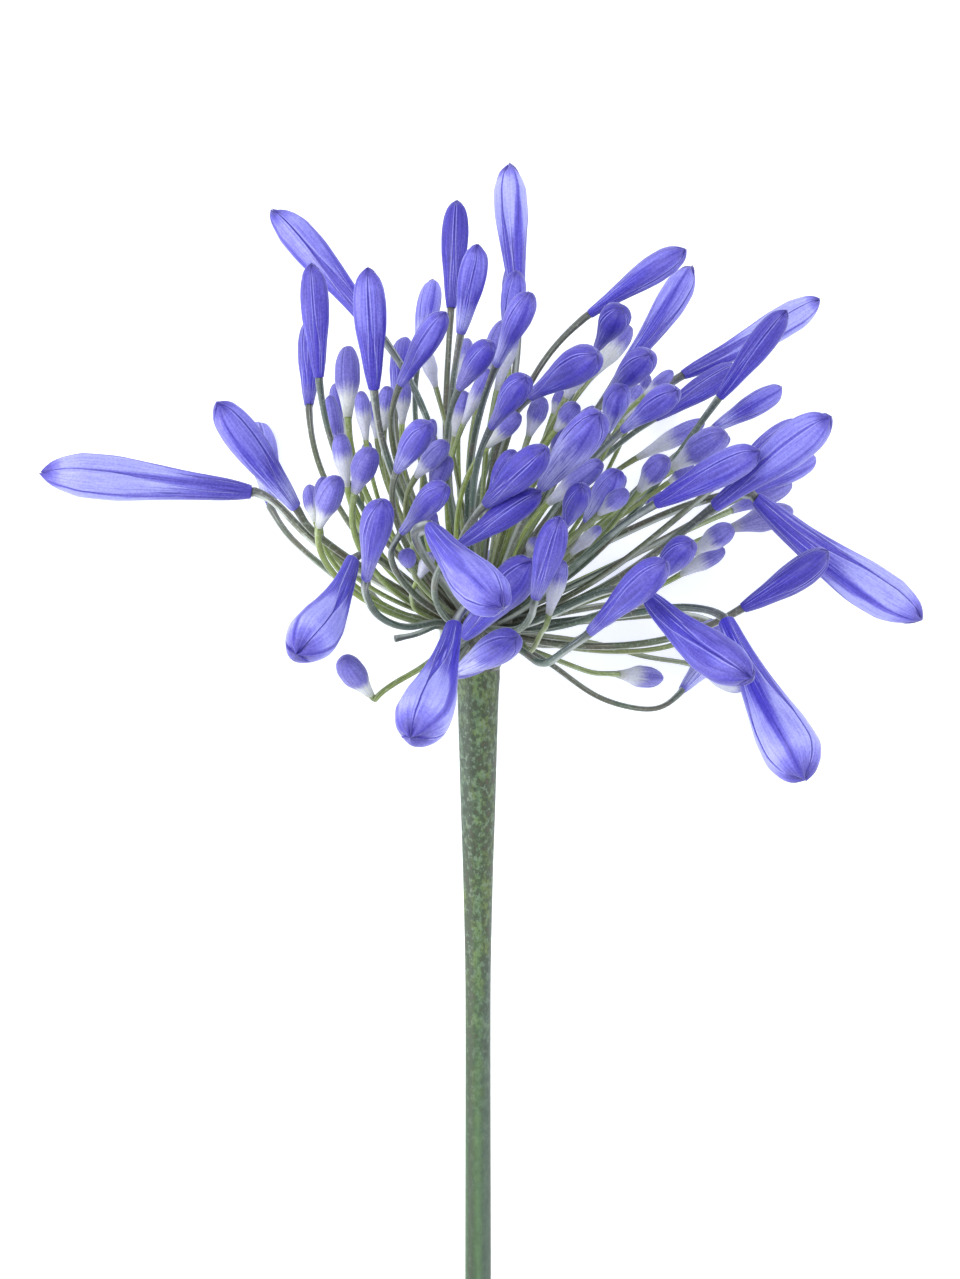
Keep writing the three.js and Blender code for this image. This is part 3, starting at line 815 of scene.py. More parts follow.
@dataclass(frozen=True)
class PetalFinish:
    """Violet-blue petals with dark midribs, pale sides and a white foot when young.

    It reads three marks: "petal" is (across, along, rib), "growth" is (age, tone, white), and
    "grain" is a point on a round bar, for streaks that run along the bud.
    """

    dark: Colour = srgb("3d3189")
    royal: Colour = srgb("3f33a2")
    deep: Colour = srgb("4c3ec2")
    violet: Colour = srgb("675eae")
    lilac: Colour = srgb("8f8bd3")
    pale: Colour = srgb("b8b9ea")
    milk: Colour = srgb("c6c8e8")
    paper: Colour = srgb("e2e5cc")
    cream: Colour = srgb("dedfe6")
    smoke: Colour = srgb("8d89b0")
    sap: Colour = srgb("b3b887")
    tip: Colour = srgb("57508a")
    sheen: Colour = srgb("dfe2ff")
    streaks: Point = (5, 5, 0.8)
    veins: Point = (11, 11, 1.1)
    clouds: Point = (1.5, 1.5, 1.1)
    fibres: Point = (5, 5, 0.14)
    specks: Point = (2200, 2200, 2200)
    roughness: float = 0.45
    relief: float = 0.00022

    def skin(self, paint: Paint) -> PetalSkin:
        """Reads the marks, and the noise along the grain.

        Args:
            paint: The material that is being made.

        Returns:
            What the colours are worked out from.
        """
        across, along, rib = paint.split(paint.mark("petal"))
        age, tone, white = paint.split(paint.mark("growth"))
        grain = paint.mark("grain")
        return PetalSkin(
            across, along, rib, age, tone, white,
            older=age.ease(0.15, 0.5),
            ripe=age.ease(0.6, 0.88),
            streak=paint.noise(grain, self.streaks, 3.0, 0.6),
            vein=paint.noise(grain, self.veins, 3.0, 0.6),
            cloud=paint.noise(grain, self.clouds, 2.0, 0.5),
            fibre=paint.noise(grain, self.fibres, 0.0, 0.5),
        )

    def ground(self, paint: Paint, skin: PetalSkin) -> Wire:
        """Lays pale flanks between deep bands, and darkens the tube and the dark buds.

        The bands follow the midribs, broad on the tube and narrow towards the tip.

        Args:
            paint: The material that is being made.
            skin: What the colours are worked out from.

        Returns:
            The colour.
        """
        palest = skin.tone.ease(1.0, 1.25)
        late = skin.age.ease(0.8, 1.0)
        belly = skin.along.ease(0.34 - 0.26 * palest, 0.62) * skin.along.fade(0.84, 1.0)
        reach = (0.08 + 0.5 * skin.along.fade(0.2, 0.85)) * (1 - 0.6 * palest)
        wavy = skin.rib + (skin.streak - 0.5) * 0.22
        band = wavy.fade(reach * 0.25, reach * 1.25 + 0.08)
        flank = (skin.tone + (skin.cloud - 0.5) * 0.6 + (skin.streak - 0.5) * 0.6) * belly
        flank = flank * (1 - band * 0.8)
        shown = band * (1 - skin.along.ease(0.5, 0.85) * 0.65)
        shown = shown * (1 - skin.across.ease(0.98, 1.04) * 0.35)
        depth = 0.2 + 0.3 * skin.older + 0.35 * late - 0.15 * skin.tone - 0.3 * palest
        shade = paint.mix(0.5 + 0.5 * skin.ripe, self.dark, self.royal)
        low = skin.along.fade(0.02, 0.4)
        return paint.layers(
            self.violet,
            (flank.ease(-0.05, 0.45), self.lilac),
            (flank.ease(0.35, 0.95) * (0.25 + 0.75 * skin.ripe), self.pale),
            (shown * depth, self.deep),
            (skin.tone.fade(-0.5, 0.0) * 0.75, shade),
            (low * skin.age * (0.8 - 0.75 * skin.tone), shade),
        )

    def lines(self, paint: Paint, skin: PetalSkin, colour: Wire) -> Wire:
        """Draws dashes on the midribs, glints, painted shade in the creases between petals and beside the
        margins on the tube, a pale margin line that is partly painted highlight, and lines on the tube.

        Args:
            paint: The material that is being made.
            skin: What the colours are worked out from.
            colour: What they are drawn on.

        Returns:
            The colour.
        """
        across, along, rib = skin.across, skin.along, skin.rib
        upper = along.ease(0.42, 0.62)
        broken = 0.35 + 0.65 * skin.cloud.ease(0.4, 0.6)
        dashes = skin.vein.ease(0.56, 0.68) * rib.near(0.05, 0.4) * along.ease(0.2, 0.4)
        glints = skin.vein.ease(0.6, 0.74) * along.near(0.45, 0.25) * skin.older
        # Painted shade: the creases between the outer petals, high on the bud, are darkened.
        crease_shade = across.ease(0.975, 1.0) * upper * broken
        fold = rib.near(0.0, 0.035) * along.ease(0.45, 0.65) * along.fade(0.95, 1.0)
        # A pale line along each outer margin: partly the margin's own paler colour, partly a painted
        # highlight on its proud edge.
        edge = across.near(0.93, 0.045) * upper * along.fade(0.93, 1.0)
        seam = along.ease(0.02, 0.1) * along.fade(0.4, 0.68)
        margin = across.near(0.97, 0.13 - 0.07 * along) * seam * skin.streak.ease(0.3, 0.55)
        # Painted shade: a dark line beside each outer margin on the tube, where the next petal emerges.
        gap = across.near(1.09, 0.07) * seam
        tube = along.ease(0.0, 0.08) * along.fade(0.35, 0.75) * skin.older
        threads = skin.fibre.near(0.47, 0.025) * tube * skin.vein.ease(0.35, 0.55)
        return paint.layers(
            colour,
            (dashes * along.fade(0.75, 0.95) * 0.5, self.dark),
            (glints * rib.near(0.45, 0.5) * 0.5, self.milk),
            # Painted shade in the creases.
            (crease_shade * (0.35 - 0.25 * skin.tone.ease(0.5, 1.0)), self.dark),
            (fold * broken * (0.2 + 0.4 * skin.ripe), self.dark),
            # The pale margin line, partly painted highlight.
            (edge * (0.35 + 0.4 * skin.older), self.pale),
            (margin * (0.25 + 0.6 * skin.age), self.milk),
            # Painted shade beside the margins on the tube.
            (gap * 0.4 * skin.age, self.dark),
            (skin.fibre.near(0.56, 0.035) * tube * 0.7, self.dark),
            (threads * (0.65 + 0.2 * skin.ripe), self.milk),
        )

    def foot(self, paint: Paint, skin: PetalSkin, colour: Wire) -> Wire:
        """Whitens the foot as far as its mark says: papery when young, and in streaks later.

        Args:
            paint: The material that is being made.
            skin: What the colours are worked out from.
            colour: What lies under the white.

        Returns:
            The colour.
        """
        younger = 1 - skin.older
        wavy = skin.along + (skin.streak - 0.5) * 0.3
        foot = skin.white.ease(0.02, 0.15) * wavy.fade(skin.white - 0.2, skin.white + 0.08)
        foot = foot * (1 - skin.along.fade(0.0, 0.12) * skin.older * 0.7)
        foot = foot * (1 - skin.vein.fade(0.38, 0.54) * skin.older * 0.7)
        milky = paint.mix(skin.tone.ease(-0.1, 0.2), self.smoke, self.milk)
        papery = paint.mix(skin.tone.ease(0.1, 0.6) * 0.7, self.paper, self.cream)
        papery = paint.mix(skin.tone.ease(-0.2, 0.1), self.smoke, papery)
        return paint.layers(
            colour,
            (younger * 0.42, self.smoke),
            (foot * 0.92, paint.mix(skin.older, papery, milky)),
            (foot * skin.vein.ease(0.52, 0.66) * younger * 0.5, self.smoke),
            (foot * younger * skin.along.fade(0.0, 0.2) * 0.6, self.sap),
        )

    def material(self) -> bpy.types.Material:
        """Makes the material.

        Returns:
            One material for all the buds, told apart by their marks.
        """
        paint = Paint("petal_skin")
        skin = self.skin(paint)
        speck = paint.noise(paint.place(), self.specks, 2.0, 0.6)
        colour = self.foot(paint, skin, self.lines(paint, skin, self.ground(paint, skin)))
        colour = paint.mix(skin.along.ease(0.92, 1.0) * (0.45 - 0.2 * skin.tone), colour, self.tip)
        stripes = paint.mix(skin.vein.ease(0.3, 0.7), self.dark, self.pale)
        colour = paint.mix(0.6, colour, stripes, "SOFT_LIGHT")
        grit = paint.mix(speck.ease(0.3, 0.7), self.dark, self.pale)
        colour = paint.mix(0.42, colour, grit, "SOFT_LIGHT")
        height = skin.vein * 0.5 + skin.streak * 0.3 + speck * 0.2
        return paint.surface(
            Base_Color=colour,
            Roughness=self.roughness + (skin.streak - 0.5) * 0.2,
            Normal=paint.bump(height, 0.6, self.relief),
            Sheen_Weight=1.0,
            Sheen_Roughness=0.12,
            Sheen_Tint=self.sheen,
            Subsurface_Weight=0.1,
            Subsurface_Radius=(0.6, 0.5, 1.0),
            Subsurface_Scale=0.0012,
        )


@dataclass(frozen=True)
class StalkFinish:
    """Stalks from olive to slate, yellow-green when young, and violet-grey under a ripe bud.

    It reads two marks. "stalk" is (along, age, tone), and "grain" is a point on a round bar.
    """

    olive: Colour = srgb("61664b")
    slate: Colour = srgb("4c6057")
    brown: Colour = srgb("665b54")
    young: Colour = srgb("a0b052")
    violet: Colour = srgb("625d6e")
    collar: Colour = srgb("ccd4ce")
    dark: Colour = srgb("3d4638")
    sheen: Colour = srgb("e8f4f4")
    streaks: Point = (2.5, 2.5, 0.8)
    specks: Point = (1500, 1500, 1500)
    patches: Point = (90, 90, 90)
    roughness: float = 0.45
    relief: float = 0.0002

    def material(self) -> bpy.types.Material:
        """Makes the material.

        Returns:
            One material for all the stalks, told apart by their marks.
        """
        paint = Paint("stalk_skin")
        along, age, tone = paint.split(paint.mark("stalk"))
        grain = paint.mark("grain")
        side, _, _ = paint.split(grain)
        streak = paint.noise(grain, self.streaks, 3.0, 0.6)
        speck = paint.noise(paint.place(), self.specks, 3.0, 0.65)
        patch = paint.noise(paint.place(), self.patches, 2.0, 0.5)
        youth = age.fade(0.05, 0.6) * (0.35 + 0.55 * tone) * (0.5 + 0.5 * along.ease(0.15, 0.5))
        # Painted highlight: pale rims along both sides of each stalk, laid in as a waxy bloom.
        bloom_and_highlight = abs(side).ease(0.76, 0.97) * (0.2 + 0.8 * age) * patch.ease(0.35, 0.5)
        colour = paint.layers(
            self.olive,
            (tone.ease(0.2, 0.6), self.slate),
            (patch.ease(0.52, 0.66) * 0.7, self.brown),
            (youth, self.young),
            (along.fade(0.05, 0.4) * 0.5, self.brown),
            (along.ease(0.65, 1.0) * age * 0.7, self.violet),
        )
        stripes = paint.mix(streak.ease(0.35, 0.65), self.dark, self.collar)
        colour = paint.layers(
            paint.mix(0.6, colour, stripes, "SOFT_LIGHT"),
            (streak.ease(0.6, 0.72) * 0.5, self.collar),
            (speck.ease(0.54, 0.7) * 0.3, self.collar),
            (streak.fade(0.32, 0.45) * 0.6, self.dark),
            (speck.fade(0.3, 0.44) * 0.4, self.dark),
            # The painted rim highlight.
            (bloom_and_highlight * 0.8, self.collar),
            (along.ease(0.93, 0.99) * age * 0.4, self.dark),
        )
        return paint.surface(
            Base_Color=colour,
            Roughness=self.roughness + (streak - 0.5) * 0.3,
            Normal=paint.bump(streak * 0.6 + speck * 0.4, 0.5, self.relief),
            Sheen_Weight=1.0,
            Sheen_Roughness=0.15,
            Coat_Weight=0.3,
            Coat_Roughness=0.3,
            Sheen_Tint=self.sheen,
        )


@dataclass(frozen=True)
class ScapeFinish:
    """A green stem with a grey bloom on one side, mottled yellow-green near the head.

    It reads the mark "stem", which is (side, along, cut). side runs from -1 on the side with
    the bloom to 1 on the sunny side, which swings round the stem from the right at the head
    to the left lower down. along is 0 at the head's centre and 1 at the cut end, and cut is 1
    on the cut itself.
    """

    green: Colour = srgb("5b6c51")
    lower: Colour = srgb("415b3b")
    bloom_and_highlight: Colour = srgb("57695d")
    yellow: Colour = srgb("7b8d4d")
    # Painted light on the stem's left side lower down.
    lit_side_green: Colour = srgb("5b8256")
    # Painted light in a strip near the stem's middle.
    lit_strip_green: Colour = srgb("6f8f68")
    dark: Colour = srgb("3d4a38")
    rust: Colour = srgb("6e5f4e")
    frost: Colour = srgb("82947f")
    pith: Colour = srgb("b9c79a")
    sheen: Colour = srgb("dceeee")
    blotches: Point = (420, 330, 420)
    flecks: Point = (1100, 800, 1100)
    streaks: Point = (900, 40, 900)
    roughness: float = 0.5
    relief: float = 0.0004

    def material(self) -> bpy.types.Material:
        """Makes the material.

        Strips at set distances east of the middle, in mm, run down the stem as it is seen from above: they
        are painted shade and painted light, a dark strip left of the middle, a lighter one near it and a
        darker right side. The sunny side also gets painted shade near the head and painted light lower
        down.

        Returns:
            The material of the stem.
        """
        paint = Paint("scape_skin")
        side, along, cut = paint.split(paint.mark("stem"))
        place = paint.place()
        east, _, _ = paint.split(paint.stretch(place, (1 / MM, 0, 0)))
        blotch = paint.noise(place, self.blotches, 4.0, 0.65)
        fleck = paint.noise(place, self.flecks, 3.0, 0.65)
        streak = paint.noise(place, self.streaks, 2.0, 0.6)
        mottled = 1 - along.ease(0.1, 0.42) * 0.85
        sunny = (side + (blotch - 0.5) * 1.6 * mottled).ease(-0.75, 0.35)
        leaf = paint.mix(along.ease(0.12, 0.3), self.green, self.lower)
        yellow = blotch.ease(0.44, 0.62) * (0.3 + 0.7 * sunny) * mottled
        hollow = blotch.fade(0.4, 0.5)
        rust = fleck.ease(0.5, 0.6) * hollow * sunny * mottled
        colour = paint.layers(
            self.bloom_and_highlight,
            (sunny, leaf),
            (yellow * 0.8, self.yellow),
            (along.fade(0.03, 0.055) * 0.45, self.yellow),
            # Painted shade: the sunny side, which is the right near the head, is darkened there.
            (side.ease(0.1, 0.9) * along.fade(0.12, 0.22) * 0.5, self.dark),
            # Painted light: the sunny side, which is the left lower down, is lightened.
            (side.ease(0.5, 1.0) * along.ease(0.2, 0.4) * 0.7, self.lit_side_green),
            # Painted shade and light in strips east of the middle, as the stem is seen from above: a dark
            # strip on the left, a lighter strip near the middle, and a darker right side.
            (east.near(-2.4, 1.2) * 0.75, self.dark),
            (east.near(-0.6, 1.3) * 0.45, self.lit_strip_green),
            (east.ease(1.0, 2.4) * along.ease(0.15, 0.25) * 0.65, self.dark),
            (hollow * 0.8 * mottled, self.dark),
            (fleck.ease(0.52, 0.6) * 0.8 * mottled, self.dark),
            (fleck.fade(0.38, 0.47) * 0.7 * mottled, self.frost),
            (rust * 0.55, self.rust),
        )
        stripes = paint.mix(streak.ease(0.3, 0.7), self.dark, self.frost)
        flesh = paint.mix(fleck.ease(0.5, 0.7), self.pith, self.yellow)
        colour = paint.mix(cut, paint.mix(0.3, colour, stripes, "SOFT_LIGHT"), flesh)
        return paint.surface(
            Base_Color=colour,
            Roughness=self.roughness + (blotch - 0.5) * 0.3,
            Normal=paint.bump(streak * 0.4 + fleck * 0.3 + blotch * 0.3, 0.4, self.relief),
            Sheen_Weight=0.05,
            Sheen_Roughness=0.25,
            Sheen_Tint=self.sheen,
        )


@dataclass
class PetalWrap:
    """Shapes a bud: three outer petals wrapped over three inner ones, shut at the tip.

    Attributes:
        outer: Where the columns of half an outer petal stand, from near its midrib at 0 to
            its margin at 1.
        inner: Where the columns of half an inner petal stand, from the outer petal's margin
            at 1 to near its own midrib at 2.
        foot_rows: Where the rings close to the foot stand, as shares of the length.
        body_start: Where the even rings start.
        tip_start: Where they end, and the skin starts to close.
        tip_rows: Where the rings close to the tip stand.
        density: Share of a stage's rings that is used.
        bulge: How far the three outer petals swell the section, as a share of the radius.
        twist: The most that a bud's petals spiral, in radians.
        drift: The most that a margin strays, as a share of the half petal.
        widest: The most that an outer petal covers.
        rib: Depth of the groove along a midrib, as a share of the radius.
        rib_breadth: Half its breadth, as a share of 60 degrees.
        seam: Depth of the groove along a margin low on the bud, as a share of the radius.
        seam_breadth: Half its breadth, as a share of the half petal.
        arch: How much shorter a petal is at its margins than at its midrib.
        ragged: The most that a petal's tip is longer or shorter than the others'.
        hook: How far the tip strays to one side, as a share of half the width.
        grain_step: mm of a bud to a unit of its grain.
        grain_turn: Units of grain between two buds whose turns differ by one radian.
    """

    outer: tuple[float, ...] = (0.12, 0.3, 0.5, 0.7, 0.85, 0.93, 0.98, 1.0)
    inner: tuple[float, ...] = (1.03, 1.12, 1.35, 1.65)
    foot_rows: tuple[float, ...] = (0.0, 0.006)
    body_start: float = 0.02
    tip_start: float = 0.96
    tip_rows: tuple[float, ...] = (0.972, 0.982, 0.99, 0.996, 0.999)
    density: float = 1.0
    bulge: float = 0.05
    twist: float = 0.25
    drift: float = 0.06
    widest: float = 0.985
    rib: float = 0.03
    rib_breadth: float = 0.07
    seam: float = 0.035
    seam_breadth: float = 0.16
    arch: float = 0.022
    ragged: float = 0.012
    hook: float = 0.08
    grain_step: float = 10.0
    grain_turn: float = 50.0

    def columns(self) -> tuple[np.ndarray, np.ndarray, np.ndarray]:
        """Lists the columns round a bud, from an inner midrib, in three equal thirds.

        Returns:
            How far across its petals each column stands, its side, -1 or 1, and its third.
        """
        half = np.array(self.outer + self.inner)
        across = np.concatenate([[2.0], half[::-1], [0.0], half])
        side = np.concatenate([-np.ones(len(half) + 1), [0.0], np.ones(len(half))])
        third = np.repeat(np.arange(3), len(across))
        return np.tile(across, 3)[None, :], np.tile(side, 3)[None, :], third[None, :]

    def rows(self, count: int) -> np.ndarray:
        """Spaces the rings evenly, but close at the foot and at the closing tip."""
        body = np.linspace(self.body_start, self.tip_start, max(8, round(count * self.density)))
        return np.concatenate([self.foot_rows, body, self.tip_rows])

    def relief(self, form: BudForm, along: np.ndarray, across: np.ndarray, cover: np.ndarray,
               rib: np.ndarray, lip: np.ndarray) -> np.ndarray:
        """Works out how far the skin stands off a round section, as a share of the radius.

        An outer petal's margin stands a lip proud of what it covers, which rises again
        towards the inner midrib. Seams low on the bud and midribs high on it are shallow
        grooves, each a bell curve across.

        Args:
            form: The stage's shape.
            along: Share of the length, shaped (rows, 1).
            across: Where the columns stand, shaped (1, columns).
            cover: Half the breadth of the outer petals.
            rib: The angle from the nearest midrib.
            lip: How proud the margins stand.

        Returns:
            The relief, shaped (rows, columns).
        """
        under = ease(across, 1.0, 1.05) * (1 - (1 - cover) * (1 - np.abs(2 - across)))
        ribbed = ease(along, 0.4, 0.7) * (1 - ease(along, 0.94, 1.0))
        tube = ease(along, 0.0, 0.08) * (1 - ease(along, 0.45, 0.65))
        return (
            -lip * under
            - form.crisp * self.rib * ribbed * np.exp(-(rib / self.rib_breadth) ** 2)
            - form.crisp * self.seam * tube * np.exp(-((across - 1) / self.seam_breadth) ** 2)
        )

    def skin(self, bud: Bud, turn: float, tone: float, white: float,
             rng: np.random.Generator) -> Skin:
        """Builds one bud.

        The radius at each ring is half the width times the stage's outline, which closes as
        sqrt(1 - t^2.4) over the tip. Round the ring it is 1 + bulge cos 3a plus the relief,
        and the inner petals narrow from broad strips on the tube to creases near the tip,
        where the outer ones meet. Each petal ends in its own arch, a little longer or
        shorter than the next.

        Args:
            bud: The bud.
            turn: Radians from straight up to an outer midrib.
            tone: How pale it is, from -0.5, dark, to 1.25.
            white: How far up its white foot reaches, as a share of its length.
            rng: The source of its small irregularities.

        Returns:
            Its skin.
        """
        form = bud.stage.value
        along = self.rows(form.rows)[:, None]
        across, side, third = self.columns()
        right_side = (side > 0).astype(int)
        open_here = ease(along, 0.3, 0.6) * (1 - ease(along, 0.9, 1.0))

        stray = rng.uniform(-self.drift, 0.02, (3, 2))[third, right_side]
        cover = smooth_outline(form.cover, along) + stray * open_here
        cover = np.clip(cover, 0.45, self.widest)
        turned = np.where(across <= 1, across * cover, cover + (across - 1) * (1 - cover))
        rib = np.where(across <= 1, turned, 1 - turned)
        spiral = rng.uniform(-self.twist, self.twist) * (along - 0.5)
        facing = third * 2 * math.pi / 3 + side * turned * math.pi / 3
        angle = math.pi / 2 + turn + facing + spiral

        lip = form.lip * rng.uniform(0.5, 1.3, (3, 2))[third, right_side] * open_here
        closing = np.clip((along - self.tip_start) / (1 - self.tip_start), 0, 1)
        share = smooth_outline(form.outline, along) * np.sqrt(1 - closing**2.4)
        swell = self.bulge * np.cos(3 * facing)
        relief = self.relief(form, along, across, cover, rib, lip)
        reach = bud.half_width * share * (1 + swell + relief)

        longer = rng.uniform(-self.ragged, self.ragged, (3, 2))
        length = np.where(across <= 1, longer[third, 0], longer[third, 1])
        length = length - self.arch * np.sin(np.minimum(across, 2 - across) * math.pi / 2) ** 2
        station = along + form.crisp * length * ease(along, 0.86, 1.0)
        bow = BOWS.get(bud.name, 0.0) * bud.length * 4 * station * (1 - station)
        up = np.cross(bud.axis, bud.left)
        hook = rng.normal(size=2) * form.crisp * self.hook * bud.half_width
        bent = ease(station, 0.85, 1.0)
        centre = (
            bud.start
            + station[..., None] * (bud.end - bud.start)
            + (bow + hook[0] * bent)[..., None] * bud.left
            + (hook[1] * bent)[..., None] * up
        )
        rings = lay_rings(centre, bud.left, up, reach, angle)
        travelled = along * bud.length / self.grain_step + turn * self.grain_turn
        marks = {
            "petal": stack(across, along, rib),
            "grain": stack(np.cos(angle), np.sin(angle), travelled),
            "growth": np.broadcast_to([form.age, tone, white], rings.shape),
        }
        return Skin(rings, bud.start, rings[-1].mean(0), marks)


@dataclass
class Stalks:
    """The bending stalks, from inside the crown to the foot of each bud.

    Attributes:
        sides: Corners of a section.
        steps: Rings along a stalk.
        soften: How often a stalk's rings are drawn to the middle of their neighbours.
        root: How far from the head's centre they start, in mm.
        sunk: How far they run on into their buds, in mm.
        thin: Radius for a narrow bud, in mm.
        thick: Radius for a wide bud, in mm.
        narrow: The width of a narrow bud, in picture units.
        wide: The width of a wide bud, in picture units.
        neck: How far before its end a bent stalk runs straight, in mm.
        lean: How much lower than its bud a plain stalk starts.
        start_pull: How far a plain stalk keeps its first direction, as a share.
        end_pull: How far it arrives in line with its bud, as a share.
        flare: How much it swells under its bud, as a share of the radius.
        base: How much it swells at the crown.
        rounds: How often neighbouring roots push each other apart.
        root_spacing: The spacing that roots reach for on a ball of radius 1.
        root_push: Share of the lack made up in a round.
        scape_spacing: The spacing that roots reach for from the scape.
        scape_push: Share of that lack made up in a round.
        seed_step: How far apart the streaks of two stalks are read.
    """

    sides: int = 10
    steps: int = 46
    soften: int = 10
    root: float = 5.5
    sunk: float = 0.2
    thin: float = 0.45
    thick: float = 0.8
    narrow: float = 14
    wide: float = 40
    neck: float = 3.0
    lean: float = 0.5
    start_pull: float = 0.38
    end_pull: float = 0.32
    flare: float = 0.25
    base: float = 0.3
    rounds: int = 40
    root_spacing: float = 0.25
    root_push: float = 0.25
    scape_spacing: float = 0.75
    scape_push: float = 0.5
    seed_step: float = 3.7

    def aims(self, scape_axis: np.ndarray) -> np.ndarray:
        """Finds which way each stalk leaves the crown.

        A bent one heads for its first point, and a plain one starts lower than its bud
        lies. Then all that are closer than their spacing push each other apart.

        Args:
            scape_axis: The way the scape runs.

        Returns:
            A unit vector for each bud.
        """
        aims = np.array([
            unit(seen(*bud.bends[0])) if bud.bends
            else unit(unit(bud.start) * (1 + self.lean) - bud.axis * self.lean)
            for bud in BUDS
        ])
        for _ in range(self.rounds):
            apart = aims[:, None] - aims[None]
            gap = np.linalg.norm(apart, axis=-1, keepdims=True)
            away = apart / np.where(gap > 0, gap, 1)
            push = (away * np.maximum(0, self.root_spacing - gap)).sum(1) * self.root_push
            off = aims - scape_axis
            lack = np.maximum(0, self.scape_spacing - np.linalg.norm(off, axis=1, keepdims=True))
            aims = unit(aims + push + unit(off) * lack * self.scape_push)
        return aims

    def thickness(self, width: float) -> float:
        """The radius of a stalk, in mm, from the width of its bud."""
        return float(np.interp(width, (self.narrow, self.wide), (self.thin, self.thick)))

    def path(self, bud: Bud, aim: np.ndarray) -> np.ndarray:
        """Traces a stalk's line.

        A bent one is a uniform Catmull-Rom curve through its points, and a plain one is a
        cubic Bezier curve that swings round into line with its bud.

        Args:
            bud: The bud that it carries.
            aim: The way it leaves the crown.

        Returns:
            Points at even spacing along it, shaped (steps, 3).
        """
        start = aim * self.root
        end = bud.start + bud.axis * self.sunk
        if bud.bends:
            points = [start, *(seen(*bend) for bend in bud.bends), end - bud.axis * self.neck, end]
            return self.even(catmull_rom(np.array(points)))
        length = np.linalg.norm(end - start)
        pulled = start + aim * length * self.start_pull
        arriving = end - bud.axis * length * self.end_pull
        share = np.linspace(0, 1, 200)[:, None]
        rest = 1 - share
        return self.even(
            rest**3 * start + 3 * rest**2 * share * pulled
            + 3 * rest * share**2 * arriving + share**3 * end
        )

    def even(self, curve: np.ndarray) -> np.ndarray:
        """Picks points at even spacing along a dense curve, and rounds its sharpest bends.

        Args:
            curve: Points close together.

        Returns:
            As many points as a stalk has rings, with the two at each end on the curve.
        """
        travelled = np.concatenate([[0], np.cumsum(np.linalg.norm(np.diff(curve, axis=0), axis=1))])
        wanted = np.linspace(0, travelled[-1], self.steps)
        points = np.stack([np.interp(wanted, travelled, values) for values in curve.T], -1)
        for _ in range(self.soften):
            points[2:-2] = (points[1:-3] + 2 * points[2:-2] + points[3:-1]) / 4
        return points

    def skin(self, path: np.ndarray, radius: float, age: float, tone: float, seed: float) -> Skin:
        """Carries a round section along a path.

        The section's plane is square to the path, turned from the direction that the path
        spreads in least. It swells a little at the crown and under the bud.

        Args:
            path: Points along the stalk.
            radius: In mm.
            age: Of the bud that it carries.
            tone: How bluish it is, 0 to 1.
            seed: Sets its streaks apart from the others'.

        Returns:
            The stalk's skin.
        """
        tangent = unit(np.gradient(path, axis=0))
        flat = np.linalg.svd(path - path.mean(0))[2][-1]
        left = unit(np.cross(tangent, flat))
        up = np.cross(tangent, left)
        along = np.linspace(0, 1, len(path))[:, None]
        angle = corners(self.sides)
        swell = self.flare * ease(along, 0.88, 1.0) + self.base * (1 - ease(along, 0.0, 0.18))
        reach = radius * (1 + swell) * (1 + 0.04 * np.cos(2 * angle + seed))
        rings = lay_rings(path[:, None], left[:, None], up[:, None], reach, angle)
        travelled = along * len(path) * 0.1 + seed
        marks = {
            "stalk": stack(np.broadcast_to(along, reach.shape), age, tone),
            "grain": stack(np.cos(angle), np.sin(angle), travelled),
        }
        return Skin(rings, path[0], path[-1], marks)


